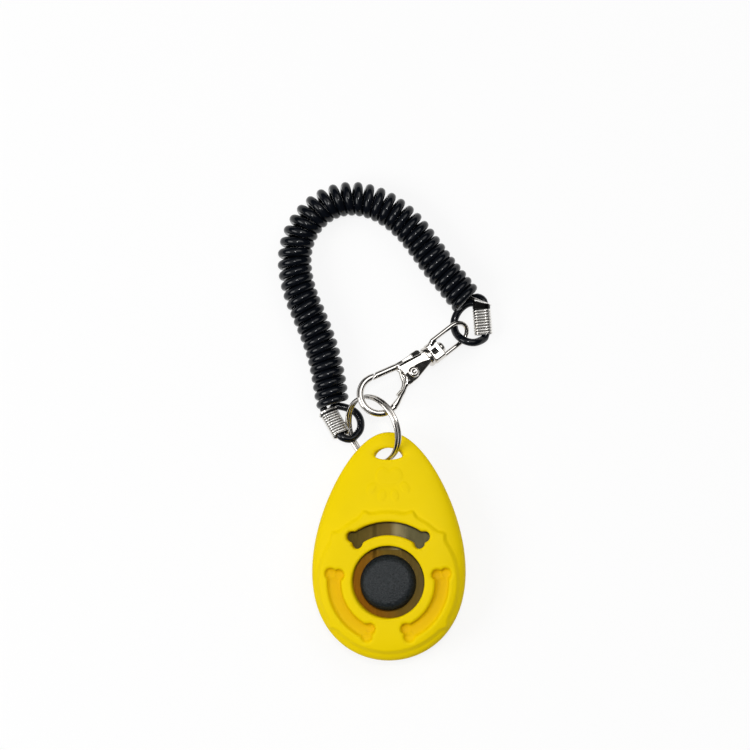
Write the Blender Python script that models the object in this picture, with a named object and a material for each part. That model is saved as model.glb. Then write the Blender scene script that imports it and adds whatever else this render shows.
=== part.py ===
"""Clicker trainer with a coiled wrist cord, lying on its back.

Metres, +Z up. The origin is on the flat back of the case, under the middle of the button.
+X is to the right and +Y runs towards the cord tab; +Z comes out of the button.
"""
import bpy
import bmesh
from math import acos, asin, cos, degrees, exp, pi, radians, sin, sqrt
from mathutils import Matrix, Vector

MM = 0.001

# Height that cutters reach, above everything on the case
CUT_TOP = 20.0 * MM

# Gap that neighbouring solids keep where they touch on the real object
TOUCH = 0.30 * MM

# Case outline: an egg, widest below the middle
CASE_HALF_WIDTH = 19.6 * MM
CASE_TAPER = 4.85 * MM
CASE_HALF_LENGTH = 30.0 * MM
CASE_CENTRE_Y = 9.475 * MM
CASE_SIDES = 44

# Case heights
PARTING_Z = 9.4 * MM
BODY_FRONT_HEIGHT = 3.6 * MM
TAB_FRONT_HEIGHT = 1.55 * MM
BODY_BACK_DEPTH = 9.9 * MM
TAB_BACK_DEPTH = 1.55 * MM
FRONT_FALL_Y = (14.0 * MM, 37.0 * MM)
BACK_RISE_Y = (8.0 * MM, 36.0 * MM)
FRONT_ROUNDING = (6.0, 2.2)
BACK_ROUNDING = (8.0, 2.4)
OUTER_STEPS = (84.0, 75.0, 60.0, 42.0, 26.0, 12.0, 0.0)
INNER_STEPS = (20.0, 45.0, 70.0, 84.0)

# Cavity inside the case
CAVITY_HALF_WIDTH = 17.6 * MM
CAVITY_TAPER = 2.0 * MM
CAVITY_HALF_LENGTH = 21.9 * MM
CAVITY_CENTRE_Y = 3.6 * MM
WALL = 1.8 * MM
ROOF_BITE = 1.2 * MM
FLOOR_Z = 2.0 * MM
LIP_HEIGHT = 0.8 * MM
LIP_THICKNESS = 0.9 * MM
LIP_FOOT = 1.5 * MM
STRAIGHT_WALL = 1.2 * MM

# Raised round platform on the front
PLATFORM_RADIUS = 18.4 * MM
PLATFORM_RISE = 0.6 * MM
PLATFORM_SINK = 0.8 * MM
PLATFORM_SIDES = 80
BUMP_HEIGHT = 1.1 * MM
BUMP_SPREAD = 3.6
BUMP_ANGLES = (41.0, 71.0, 109.0, 139.0, 217.0, 323.0)

# Button and the openings round it
BUTTON_RADIUS = 7.4 * MM
BUTTON_TOP_Z = 14.8 * MM
BUTTON_EDGE = 1.1 * MM
BUTTON_CROWN = 0.25 * MM
BUTTON_CUP_Z = 12.9 * MM
BUTTON_SKIRT_Z = 10.9 * MM
BUTTON_WALL = 1.2 * MM
BUTTON_BOSS_RADIUS = 2.2 * MM
STEM_RADIUS = 1.5 * MM
COLLAR_RADIUS = 2.9 * MM
COLLAR_HEIGHT = 0.9 * MM
BUTTON_HOLE_RADIUS = 9.5 * MM
BONE_ANGLES = (90.0, 210.0, 330.0)
BONE_HALF_ANGLE = 38.5
BONE_OUTER_RADIUS = 15.9 * MM
BONE_INNER_RADIUS = 12.4 * MM
KNOB_RADIUS = 1.4 * MM
KNOB_OUTER_RADIUS = 15.3 * MM
KNOB_INNER_RADIUS = 13.1 * MM
RECESS_DEPTH = 1.1 * MM

# Spring-steel reed
REED_Z = 9.0 * MM
REED_THICKNESS = 0.4 * MM
REED_RADIUS = 9.8 * MM
REED_HALF_WIDTH = 11.2 * MM
REED_TAIL_HALF_WIDTH = 8.6 * MM
REED_SHOULDER_Y = 5.0 * MM
REED_TAIL_Y = (14.6 * MM, 18.6 * MM)
REED_HINGE_Y = 17.2 * MM
BEAD_HALF_WIDTH = 3.1 * MM
BEAD_SLOPE = 0.4 * MM
BEAD_RISE = 0.35 * MM
BEAD_Y = (5.0 * MM, 15.0 * MM)
REED_HOLE_RADIUS = 2.15 * MM
REED_PLAY = 0.45 * MM
PEG_X = 6.0 * MM
PEG_RADIUS = 1.0 * MM
PEG_HOLE_RADIUS = 1.6 * MM
PEG_BASE_RADIUS = 2.0 * MM
PEG_HEIGHT = 1.3 * MM
PEG_CHAMFER = 0.3 * MM

# Case screws
SCREW_PLACES = ((-11.3 * MM, -6.9 * MM), (11.3 * MM, -6.9 * MM), (0.0, 21.4 * MM))
BOSS_RADIUS = 2.2 * MM
SEAT_HEIGHT = 4.2 * MM
SCREW_RADIUS = 1.0 * MM
SCREW_LENGTH = 6.4 * MM
SCREW_HEAD_RADIUS = 1.9 * MM
SCREW_HEAD_HEIGHT = 1.1 * MM
SCREW_HEAD_Z = 0.5 * MM
SCREW_HEAD_CHAMFER = 0.3 * MM
SCREW_POINT = 1.2 * MM
DRIVE_HALF_LENGTH = 1.1 * MM
DRIVE_HALF_WIDTH = 0.22 * MM
DRIVE_DEPTH = 0.7 * MM

# D-shaped hole in the cord tab; its lower wall slants so that the ring can lie over
TAB_HOLE_HALF_WIDTH = 3.95 * MM
TAB_HOLE_LOW_Y = 32.1 * MM
TAB_HOLE_HIGH_Y = 35.6 * MM
TAB_HOLE_FACE_Z = 11.0 * MM
TAB_HOLE_SLANT = 0.95
TAB_HOLE_FLARE = 2.2 * MM
TAB_HOLE_STRAIGHT = (-0.7 * MM, 0.9 * MM)
TAB_HOLE_REACH = (-4.6 * MM, 3.2 * MM)

# Split ring
RING_RADIUS = 8.9 * MM
RING_WIRE = 0.95 * MM
RING_PITCH = 1.07 * MM
RING_CENTRE = Vector((-4.13, 40.22, 8.55)) * MM
RING_NORMAL = Vector((-0.639, -0.283, 0.715)).normalized()
SWING_PIVOT = Vector((0.0, 35.0, 10.2)) * MM
RING_CROSSING = 15.0
RING_SPLIT_ANGLE = 250.0

# Snap hook: x along the swivel axis, y towards the gate, z out of the hook's flat side
HOOK_CENTRE = Vector((-2.41, 49.16, 12.45)) * MM
HOOK_HEADING = 38.7
HOOK_PITCH = 18.0
CLAW_RADIUS = 5.03 * MM
CLAW_ROD = 1.55 * MM
CLAW_TIP_ANGLE = 69.0
CLAW_END_ANGLE = 285.0
SPINE_LENGTH = 8.5 * MM
SEAM_POINT = Vector((1.95, 4.65, 0.0)) * MM
SEAM_NORMAL = Vector((0.64, -0.77, 0.0)).normalized()
SEAM_GAP = 0.25 * MM
HOOK_PLATE = (
    (7.8, 3.3), (9.4, 3.1), (16.7, 1.6), (17.1, 1.3), (17.1, -1.3), (16.7, -1.6), (9.4, -3.35),
    (6.1, -4.3), (5.9, -3.5), (7.6, -2.2), (8.3, -0.9), (8.3, 0.6), (7.8, 1.8),
)
BODY_THICKNESS = 3.5 * MM
BODY_EDGE = 0.4 * MM
HOOK_SLOT = ((6.3, 5.0), (14.3, 5.0), (14.3, -0.2), (13.0, -2.1), (9.0, -2.5), (6.3, -3.2))
SLOT_WIDTH = 2.0 * MM
GATE_BAR_END = Vector((9.8, 2.75, 0.0)) * MM
GATE_LEVER = (
    (8.4, 3.55), (9.4, 3.6), (13.0, 3.25), (16.2, 3.0), (16.6, 2.65), (16.4, 2.05), (14.0, 2.45),
    (13.2, 1.2), (12.5, 0.3),
)
GATE_ARM = ((9.5, 0.6), (9.2, 1.9), (8.4, 2.4))
GATE_HUB_RADIUS = 1.25
PIVOT = Vector((10.85, -0.94, 0.0)) * MM
PIVOT_RADIUS = 0.85 * MM
PIVOT_HEAD_RADIUS = 1.42 * MM
PIVOT_HEAD_HEIGHT = 0.5 * MM
GATE_THICKNESS = 1.5 * MM
SMALL_GAP = 0.2 * MM
NECK_RADIUS = 1.5 * MM
NECK_X = (16.4 * MM, 18.4 * MM)
NECK_RING_RADIUS = 2.0 * MM
NECK_RING_X = (17.1 * MM, 17.3 * MM, 18.0 * MM)
SPRING_THICKNESS = 0.3 * MM
SPRING_WIDTH = 1.2 * MM
SPRING_ROUTE = (
    (8.6, 1.9), (8.3, 1.1), (7.85, 0.1), (7.5, -0.9), (6.9, -1.8), (5.9, -2.45), (4.8, -2.8), (3.8, -3.0),
)

# Swivel eye and its rivet
EYE_BASE_X = (18.7 * MM, 21.1 * MM)
EYE_BASE_RADIUS = 2.55 * MM
EYE_BASE_EDGE = 0.5 * MM
EYE_ROLL = 32.0
BAIL_ROD = 1.15 * MM
BAIL_HALF_WIDTH = 2.35 * MM
BAIL_STRAIGHT_X = 23.1 * MM
BAIL_BEND_X = 26.7 * MM
BAIL_END_X = 30.3 * MM
SHANK_RADIUS = 0.68 * MM
SHANK_X = (15.2 * MM, 21.35 * MM)
SHANK_HEAD_RADIUS = 1.5 * MM
SHANK_HEAD_HEIGHT = 0.8 * MM
SHANK_HEAD_EDGE = 0.4 * MM

# Cord
CORD_DIAMETER = 2.0 * MM
COIL_DIAMETER = 8.4 * MM
COIL_Z = 4.3
COIL_ROUTE = (
    (-15.2, 47.9), (-16.1, 53.7), (-17.2, 59.2), (-18.9, 64.6), (-21.0, 69.9), (-23.1, 75.1), (-24.5, 80.8),
    (-24.6, 86.4), (-23.0, 91.8), (-19.7, 96.4), (-15.1, 99.5), (-9.5, 100.6), (-3.7, 99.5), (1.3, 96.8),
    (5.5, 93.1), (9.0, 88.7), (12.3, 84.1), (15.8, 79.7), (19.7, 74.9),
)
RING_LOOP_ROUTE = (
    (-14.75, 46.5, 1.45), (-13.0, 46.4, 1.35), (-11.2, 45.9, 1.3), (-9.7, 45.2, 1.4), (-8.4, 43.8, 1.8),
    (-7.8, 42.1, 2.6), (-7.9, 40.3, 3.6), (-8.9, 38.8, 4.4), (-10.4, 37.7, 5.1),
)
HOOK_LOOP_ROUTE = (
    (22.2, 73.6, 2.2), (20.4, 73.5, 2.0), (18.5, 72.1, 1.7), (17.2, 70.1, 1.5), (16.8, 67.9, 1.8),
    (17.4, 65.7, 3.7), (18.9, 64.1, 5.6), (20.9, 63.2, 6.1), (22.9, 63.2, 5.3),
)
RING_FERRULE_ENDS = (Vector((-16.0, 44.4, 2.6)) * MM, Vector((-12.8, 39.1, 5.2)) * MM)
HOOK_FERRULE_ENDS = (Vector((24.1, 71.9, 2.5)) * MM, Vector((24.6, 65.4, 2.9)) * MM)
STRAND_OFFSET = 0.95 * MM
STRAND_LEAD = 0.9 * MM
FERRULE_WIDTH = 4.3 * MM
FERRULE_DEPTH = 2.9 * MM
FERRULE_RIBS = 9
RIB_DEPTH = 0.25 * MM


def clear_scene():
    for thing in list(bpy.data.objects):
        bpy.data.objects.remove(thing, do_unlink=True)


def finish(name, colour, roughness, metallic=0.0):
    material = bpy.data.materials.new(name)
    material.use_nodes = True
    shader = material.node_tree.nodes["Principled BSDF"]
    shader.inputs["Base Color"].default_value = (*colour, 1.0)
    shader.inputs["Roughness"].default_value = roughness
    shader.inputs["Metallic"].default_value = metallic
    return material


def add_object(name, mesh_builder, material=None, parent=None):
    """Turn a bmesh into an object with outward faces."""
    bmesh.ops.recalc_face_normals(mesh_builder, faces=mesh_builder.faces)
    mesh = bpy.data.meshes.new(name)
    mesh_builder.to_mesh(mesh)
    mesh_builder.free()
    mesh.shade_smooth()
    mesh.set_sharp_from_angle(angle=radians(35.0))
    thing = bpy.data.objects.new(name, mesh)
    bpy.context.scene.collection.objects.link(thing)
    if material:
        mesh.materials.append(material)
    if parent:
        thing.parent = parent
    return thing


def add_empty(name, matrix, parent=None):
    thing = bpy.data.objects.new(name, None)
    bpy.context.scene.collection.objects.link(thing)
    thing.parent = parent
    thing.matrix_local = matrix
    return thing


def skin(loops, start=None, end=None):
    """Bridge loops of equal length; each end closes on a pole, or flat where none is given."""
    builder = bmesh.new()
    rows = [[builder.verts.new(point) for point in loop] for loop in loops]
    count = len(rows[0])
    for row, following in zip(rows, rows[1:]):
        for i in range(count):
            j = (i + 1) % count
            builder.faces.new((row[i], row[j], following[j], following[i]))
    for row, pole in ((rows[0], start), (rows[-1], end)):
        if pole is None:
            builder.faces.new(row)
            continue
        tip = builder.verts.new(pole)
        for i in range(count):
            builder.faces.new((row[i], row[(i + 1) % count], tip))
    return builder


def circle(radius, height, sides, centre=(0.0, 0.0)):
    turns = (2.0 * pi * i / sides for i in range(sides))
    return [Vector((centre[0] + radius * cos(a), centre[1] + radius * sin(a), height)) for a in turns]


def turned(profile, sides, centre=(0.0, 0.0)):
    """Turn (radius, height) points about +Z; a radius of zero at either end makes a pole."""
    points = list(profile)
    start = None
    end = None
    if points[0][0] == 0.0:
        start = Vector((centre[0], centre[1], points.pop(0)[1]))
    if points[-1][0] == 0.0:
        end = Vector((centre[0], centre[1], points.pop()[1]))
    return skin([circle(r, z, sides, centre) for r, z in points], start, end)


def prism(outline, low, high):
    return skin([[Vector((x, y, low)) for x, y in outline], [Vector((x, y, high)) for x, y in outline]])


def smooth_route(points, step):
    """Points about one step apart on a Catmull-Rom curve through the given points."""
    route = [Vector(point) for point in points]
    ends = [2.0 * route[0] - route[1]] + route + [2.0 * route[-1] - route[-2]]
    fine = []
    pieces = 12
    for a, b, c, d in zip(ends, ends[1:], ends[2:], ends[3:]):
        for k in range(pieces):
            t = k / pieces
            bend = (2.0 * a - 5.0 * b + 4.0 * c - d) * t * t + (3.0 * b - a - 3.0 * c + d) * t ** 3
            fine.append(0.5 * (2.0 * b + (c - a) * t + bend))
    fine.append(route[-1])
    length = sum((q - p).length for p, q in zip(fine, fine[1:]))
    count = max(2, round(length / step))
    result = [fine[0]]
    walked = 0.0
    for p, q in zip(fine, fine[1:]):
        gap = (q - p).length
        while len(result) < count and walked + gap >= length * len(result) / count:
            share = (length * len(result) / count - walked) / gap
            result.append(p.lerp(q, share))
        walked += gap
    result.append(fine[-1])
    return result


def cord_tube(name, route, diameter, step, material, parent):
    """A tube along a smooth route, as a bevelled curve with filled caps."""
    curve = bpy.data.curves.new(name, "CURVE")
    curve.dimensions = "3D"
    curve.bevel_depth = diameter / 2.0
    curve.bevel_resolution = 2 if diameter < 4.0 * MM else 4
    curve.use_fill_caps = True
    points = smooth_route([Vector(point) * MM for point in route], step)
    spline = curve.splines.new("POLY")
    spline.points.add(len(points) - 1)
    for place, point in zip(spline.points, points):
        place.co = (*point, 1.0)
    curve.materials.append(material)
    tube = bpy.data.objects.new(name, curve)
    bpy.context.scene.collection.objects.link(tube)
    tube.parent = parent
    tube.matrix_parent_inverse = parent.matrix_world.inverted()
    return tube


def rod(points, radius, sides, start_plane=None, end_plane=None, flat=(0.0, 0.0, 1.0)):
    """A round rod along points in one plane; a plane (point, normal) can cut either end at a slant."""
    across = Vector(flat)
    loops = []
    for i, point in enumerate(points):
        ahead = points[min(i + 1, len(points) - 1)] - points[max(i - 1, 0)]
        heading = ahead.normalized()
        side = across.cross(heading).normalized()
        ring = []
        for k in range(sides):
            turn = 2.0 * pi * (k + 0.5) / sides
            ring.append(point + radius * (cos(turn) * side + sin(turn) * across))
        for index, plane in ((0, start_plane), (len(points) - 1, end_plane)):
            if plane and i == index:
                place, normal = plane
                ring = [p + heading * ((place - p).dot(normal) / heading.dot(normal)) for p in ring]
        loops.append(ring)
    return skin(loops)


def combine(target, other, operation="DIFFERENCE"):
    """Cut one object with another, or join it on; the other one is only a guide."""
    other.hide_render = True
    other.display_type = "WIRE"
    step = target.modifiers.new(operation.lower(), "BOOLEAN")
    step.operation = operation
    step.solver = "EXACT"
    step.object = other


def round_edges(target, width, angle=40.0, segments=2):
    step = target.modifiers.new("round edges", "BEVEL")
    step.width = width
    step.segments = segments
    step.limit_method = "ANGLE"
    step.angle_limit = radians(angle)


def smooth_step(value):
    value = min(1.0, max(0.0, value))
    return value * value * (3.0 - 2.0 * value)


def front_height(y):
    share = smooth_step((FRONT_FALL_Y[1] - y) / (FRONT_FALL_Y[1] - FRONT_FALL_Y[0]))
    return TAB_FRONT_HEIGHT + (BODY_FRONT_HEIGHT - TAB_FRONT_HEIGHT) * share


def back_depth(y):
    share = smooth_step((BACK_RISE_Y[1] - y) / (BACK_RISE_Y[1] - BACK_RISE_Y[0]))
    return TAB_BACK_DEPTH + (BODY_BACK_DEPTH - TAB_BACK_DEPTH) * share


def egg_loop(scale, shape, inset=0.0):
    half_width, taper, half_length, centre_y = shape
    narrowed = (half_width - inset) / half_width
    points = []
    for i in range(CASE_SIDES):
        turn = 2.0 * pi * (i + 0.5) / CASE_SIDES
        x = scale * narrowed * cos(turn) * (half_width - taper * sin(turn))
        y = centre_y + scale * (half_length - inset) * sin(turn)
        points.append((x, y))
    return points


CASE_EGG = (CASE_HALF_WIDTH, CASE_TAPER, CASE_HALF_LENGTH, CASE_CENTRE_Y)
CAVITY_EGG = (CAVITY_HALF_WIDTH, CAVITY_TAPER, CAVITY_HALF_LENGTH, CAVITY_CENTRE_Y)


def egg_share(x, y):
    """How far out a point is inside the case outline, from 0 in the middle to 1 at the edge."""
    along = (y - CASE_CENTRE_Y) / CASE_HALF_LENGTH
    share = 0.5
    for _ in range(40):
        sine = max(-1.0, min(1.0, along / max(share, 1e-6)))
        share = sqrt(along ** 2 + (x / (CASE_HALF_WIDTH - CASE_TAPER * sine)) ** 2)
    return share


def front_z(x, y):
    wide, tall = FRONT_ROUNDING
    share = min(1.0, egg_share(x, y))
    return PARTING_Z + front_height(y) * (1.0 - share ** wide) ** (1.0 / tall)


def rounded(step, rounding):
    """Share of the outline and of the height at one step, in degrees, round a case edge."""
    wide, tall = rounding
    turn = radians(step)
    return cos(turn) ** (2.0 / wide), sin(turn) ** (2.0 / tall)


def front_shell():
    base = PARTING_Z + TOUCH / 2.0
    loops = []
    for step in OUTER_STEPS:
        scale, rise = rounded(step, FRONT_ROUNDING)
        loops.append([Vector((x, y, base + front_height(y) * rise)) for x, y in egg_loop(scale, CASE_EGG)])
    wall_top = PARTING_Z + STRAIGHT_WALL
    for height in (base, wall_top):
        loops.append([Vector((x, y, height)) for x, y in egg_loop(1.0, CAVITY_EGG)])
    for step in INNER_STEPS:
        scale, rise = rounded(step, FRONT_ROUNDING)
        outline = egg_loop(scale, CAVITY_EGG)
        loops.append([Vector((x, y, ceiling(y, rise))) for x, y in outline])
    start = Vector((0.0, CASE_CENTRE_Y, base + front_height(CASE_CENTRE_Y)))
    end = Vector((0.0, CAVITY_CENTRE_Y, ceiling(CAVITY_CENTRE_Y, 1.0)))
    return skin(loops, start, end)


def ceiling(y, rise):
    """Height of the cavity's roof under the front."""
    room = front_height(y) - WALL - STRAIGHT_WALL
    return PARTING_Z + STRAIGHT_WALL + max(room, 0.1 * MM) * rise


def rear_shell():
    top = PARTING_Z - TOUCH / 2.0
    loops = []
    for step in OUTER_STEPS:
        scale, drop = rounded(step, BACK_ROUNDING)
        outline = egg_loop(scale, CASE_EGG)
        loops.append([Vector((x, y, max(0.0, top - back_depth(y) * drop))) for x, y in outline])
    outside = TOUCH
    inside = TOUCH + LIP_THICKNESS
    lip_top = PARTING_Z + LIP_HEIGHT
    low_wall = PARTING_Z - LIP_FOOT
    for inset, height in ((outside, top), (outside, lip_top), (inside, lip_top), (inside, low_wall)):
        loops.append([Vector((x, y, height)) for x, y in egg_loop(1.0, CAVITY_EGG, inset)])
    for step in INNER_STEPS:
        scale, drop = rounded(step, BACK_ROUNDING)
        outline = egg_loop(scale, CAVITY_EGG, inside)
        loops.append([Vector((x, y, cavity_floor(y, drop, low_wall))) for x, y in outline])
    start = Vector((0.0, CASE_CENTRE_Y, 0.0))
    end = Vector((0.0, CAVITY_CENTRE_Y, FLOOR_Z))
    return skin(loops, start, end)


def cavity_floor(y, drop, wall_foot):
    """Height of the cavity's floor; it follows the rising back towards the tab."""
    return wall_foot - (wall_foot - FLOOR_Z - back_z(y)) * drop


def polar(radius, angle):
    return Vector((radius * cos(radians(angle)), radius * sin(radians(angle))))


def bone_outline(middle):
    """A bone bent round the button, with two knobs at each end, as (x, y) points."""
    knob_gap = degrees(acos((KNOB_OUTER_RADIUS - KNOB_INNER_RADIUS) / 2.0 / KNOB_RADIUS))
    outer_start = degrees(acos((BONE_OUTER_RADIUS - KNOB_OUTER_RADIUS) / KNOB_RADIUS))
    inner_stop = degrees(acos((KNOB_INNER_RADIUS - BONE_INNER_RADIUS) / KNOB_RADIUS))
    shank = BONE_HALF_ANGLE - degrees(asin(KNOB_RADIUS / BONE_OUTER_RADIUS)) - 1.5
    points = []
    for end in (-1.0, 1.0):
        angle = middle + end * BONE_HALF_ANGLE
        outward = polar(1.0, angle)
        along = end * Vector((-outward.y, outward.x))
        knobs = (
            (KNOB_OUTER_RADIUS, -outer_start, 180.0 - knob_gap),
            (KNOB_INNER_RADIUS, knob_gap, 180.0 + inner_stop),
        )
        arc = []
        for radius, first, last in knobs:
            for k in range(6):
                turn = radians(first + (last - first) * k / 5.0)
                if radius == KNOB_INNER_RADIUS and k == 0:
                    continue
                arc.append(polar(radius, angle) + KNOB_RADIUS * (cos(turn) * outward + sin(turn) * along))
        points += arc if end < 0.0 else arc[::-1]
        radius = BONE_INNER_RADIUS if end < 0.0 else BONE_OUTER_RADIUS
        for k in range(7):
            share = -end * (2.0 * k / 6.0 - 1.0) if end > 0.0 else 2.0 * k / 6.0 - 1.0
            points.append(polar(radius, middle + shank * share))
    return [(point.x, point.y) for point in points]


def platform():
    """The raised round area, which follows the dome of the front."""
    loops = []
    for share, rise in ((0.25, PLATFORM_RISE), (0.6, PLATFORM_RISE), (0.85, PLATFORM_RISE),
                        (0.972, PLATFORM_RISE), (1.0, 0.05 * MM), (1.0, -PLATFORM_SINK)):
        loop = []
        for i in range(PLATFORM_SIDES):
            angle = 360.0 * i / PLATFORM_SIDES
            reach = PLATFORM_RADIUS
            for bump in BUMP_ANGLES:
                reach += BUMP_HEIGHT * exp(-((angle - bump) / BUMP_SPREAD) ** 2)
            place = polar(reach * share, angle)
            loop.append(Vector((place.x, place.y, front_z(place.x, place.y) + TOUCH / 2.0 + rise)))
        loops.append(loop)
    top = Vector((0.0, 0.0, front_z(0.0, 0.0) + TOUCH / 2.0 + PLATFORM_RISE))
    bottom = Vector((0.0, 0.0, front_z(0.0, 0.0) - PLATFORM_SINK))
    return skin(loops, top, bottom)


def recess(middle):
    """Cutter for a blind bone whose floor follows the front at one depth."""
    outline = bone_outline(middle)
    lift = PLATFORM_RISE + TOUCH / 2.0 - RECESS_DEPTH
    floor = [Vector((x, y, front_z(x, y) + lift)) for x, y in outline]
    top = [Vector((x, y, CUT_TOP)) for x, y in outline]
    return skin([floor, top])


def tab_hole():
    """Cutter for the D-shaped hole: a slanted lower wall, and a bar above it that is rounded off."""
    rows = (
        (TAB_HOLE_REACH[1], TAB_HOLE_FLARE), (TAB_HOLE_STRAIGHT[1], 0.0),
        (TAB_HOLE_STRAIGHT[0], 0.0), (TAB_HOLE_REACH[0], TAB_HOLE_FLARE),
    )
    loops = []
    for above_parting, flare in rows:
        height = PARTING_Z + above_parting
        low = TAB_HOLE_LOW_Y - TAB_HOLE_SLANT * (TAB_HOLE_FACE_Z - height)
        rise = TAB_HOLE_HIGH_Y + flare - low
        wide = TAB_HOLE_HALF_WIDTH + flare / 4.0
        loop = [Vector((-wide, low, height)), Vector((0.0, low, height)), Vector((wide, low, height))]
        for k in range(1, 12):
            turn = pi * k / 12.0
            loop.append(Vector((wide * cos(turn), low + rise * sin(turn), height)))
        loops.append(loop)
    return skin(loops)


def make_case(yellow, steel):
    front = add_object("front_cover", front_shell(), yellow)
    rear = add_object("rear_cover", rear_shell(), yellow)
    combine(front, add_object("guide_platform", platform()), "UNION")
    roof = PARTING_Z + BODY_FRONT_HEIGHT - ROOF_BITE
    for x, y in SCREW_PLACES:
        wide = BOSS_RADIUS + TOUCH
        seat = turned(((wide, back_z(y) + FLOOR_Z / 2.0), (wide, seat_z(y))), 20, (x, y))
        combine(rear, add_object("guide_seat", seat), "UNION")
        high = PARTING_Z + front_height(y) - ROOF_BITE
        boss = turned(((BOSS_RADIUS, seat_z(y) + TOUCH), (BOSS_RADIUS, high)), 20, (x, y))
        combine(front, add_object("guide_boss", boss), "UNION")
    socket_foot = REED_Z + REED_THICKNESS / 2.0 + TOUCH
    pedestal_top = REED_Z - REED_THICKNESS / 2.0 - TOUCH
    pedestal_foot = back_z(REED_HINGE_Y) + FLOOR_Z / 2.0
    peg_top = REED_Z + PEG_HEIGHT
    for side in (-1.0, 1.0):
        place = (side * PEG_X, REED_HINGE_Y)
        socket = turned(((PEG_BASE_RADIUS, socket_foot), (PEG_BASE_RADIUS, roof)), 20, place)
        combine(front, add_object("guide_socket", socket), "UNION")
        peg = turned((
            (0.0, peg_top), (PEG_RADIUS - PEG_CHAMFER, peg_top), (PEG_RADIUS, peg_top - PEG_CHAMFER),
            (PEG_RADIUS, pedestal_top), (PEG_BASE_RADIUS, pedestal_top), (PEG_BASE_RADIUS, pedestal_foot),
        ), 20, place)
        combine(rear, add_object("guide_peg", peg), "UNION")
    hole = turned(((BUTTON_HOLE_RADIUS, PARTING_Z + STRAIGHT_WALL), (BUTTON_HOLE_RADIUS, CUT_TOP)), 48)
    combine(front, add_object("guide_button_hole", hole))
    window = prism(bone_outline(BONE_ANGLES[0]), PARTING_Z + STRAIGHT_WALL, CUT_TOP)
    combine(front, add_object("guide_window", window))
    for angle in BONE_ANGLES[1:]:
        combine(front, add_object("guide_recess", recess(angle)))
    for side in (-1.0, 1.0):
        bore = turned(((PEG_RADIUS + TOUCH, PARTING_Z), (PEG_RADIUS + TOUCH, peg_top + 2.0 * TOUCH)), 20,
                      (side * PEG_X, REED_HINGE_Y))
        combine(front, add_object("guide_socket_bore", bore))
    for x, y in SCREW_PLACES:
        make_screw_seat(front, rear, x, y)
    for cover in (front, rear):
        combine(cover, add_object("guide_tab_hole", tab_hole()))
    for number, (x, y) in enumerate(SCREW_PLACES, 1):
        make_screw(number, x, y, steel)


def back_z(y):
    """Height of the back of the case along its middle."""
    return max(0.0, PARTING_Z - back_depth(y))


def seat_z(y):
    """Height of the flat seat inside the rear cover round a screw."""
    return back_z(y) + SEAT_HEIGHT


def screw_base(y):
    return back_z(y) + SCREW_HEAD_Z


def make_screw_seat(front, rear, x, y):
    """Clearance hole and counterbore in the rear cover, pilot hole in the front cover's boss."""
    base = screw_base(y)
    head = SCREW_HEAD_RADIUS + TOUCH
    shank = SCREW_RADIUS + TOUCH
    seat = base + SCREW_HEAD_HEIGHT + SMALL_GAP
    bore = turned(((head, -WALL), (head, seat), (shank, seat), (shank, seat_z(y) + WALL)), 20, (x, y))
    combine(rear, add_object("guide_screw_bore", bore))
    tip = base + SCREW_HEAD_HEIGHT + SCREW_LENGTH + TOUCH
    pilot = turned(((shank, 0.0), (shank, tip)), 20, (x, y))
    combine(front, add_object("guide_pilot", pilot))


def make_screw(number, x, y, steel):
    base = screw_base(y)
    under = base + SCREW_HEAD_HEIGHT
    tip = under + SCREW_LENGTH
    screw = add_object("case_screw_%d" % number, turned((
        (0.0, base), (SCREW_HEAD_RADIUS - SCREW_HEAD_CHAMFER, base),
        (SCREW_HEAD_RADIUS, base + SCREW_HEAD_CHAMFER), (SCREW_HEAD_RADIUS, under), (SCREW_RADIUS, under),
        (SCREW_RADIUS, tip - SCREW_POINT), (0.0, tip),
    ), 20, (x, y)), steel)
    for turned_by in (0.0, 90.0):
        corners = ((-1.0, -1.0), (1.0, -1.0), (1.0, 1.0), (-1.0, 1.0))
        outline = [(a * DRIVE_HALF_LENGTH, b * DRIVE_HALF_WIDTH) for a, b in corners]
        slot = prism(outline, base - DRIVE_DEPTH, base + DRIVE_DEPTH)
        guide = add_object("guide_drive", slot)
        guide.matrix_world = Matrix.Translation((x, y, 0.0)) @ Matrix.Rotation(radians(turned_by), 4, "Z")
        combine(screw, guide)


def make_button(black):
    reed_top = REED_Z + REED_THICKNESS / 2.0
    reed_bottom = REED_Z - REED_THICKNESS / 2.0
    collar_top = reed_bottom - REED_PLAY
    boss_foot = reed_top + REED_PLAY
    edge = BUTTON_TOP_Z - BUTTON_CROWN
    profile = [(0.0, BUTTON_TOP_Z), (BUTTON_RADIUS / 2.0, BUTTON_TOP_Z - BUTTON_CROWN / 4.0)]
    for k in range(5):
        turn = pi / 2.0 * k / 4.0
        reach = BUTTON_RADIUS - BUTTON_EDGE * (1.0 - sin(turn))
        profile.append((reach, edge - BUTTON_EDGE * (1.0 - cos(turn))))
    inner = BUTTON_RADIUS - BUTTON_WALL
    profile += [
        (BUTTON_RADIUS, BUTTON_SKIRT_Z), (inner, BUTTON_SKIRT_Z), (inner, BUTTON_CUP_Z),
        (BUTTON_BOSS_RADIUS, BUTTON_CUP_Z),
        (BUTTON_BOSS_RADIUS, boss_foot), (STEM_RADIUS, boss_foot), (STEM_RADIUS, collar_top),
        (COLLAR_RADIUS, collar_top), (COLLAR_RADIUS, collar_top - COLLAR_HEIGHT / 2.0),
        (COLLAR_RADIUS * 0.7, collar_top - COLLAR_HEIGHT), (0.0, collar_top - COLLAR_HEIGHT),
    ]
    return add_object("button", turned(profile, 32), black)


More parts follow.
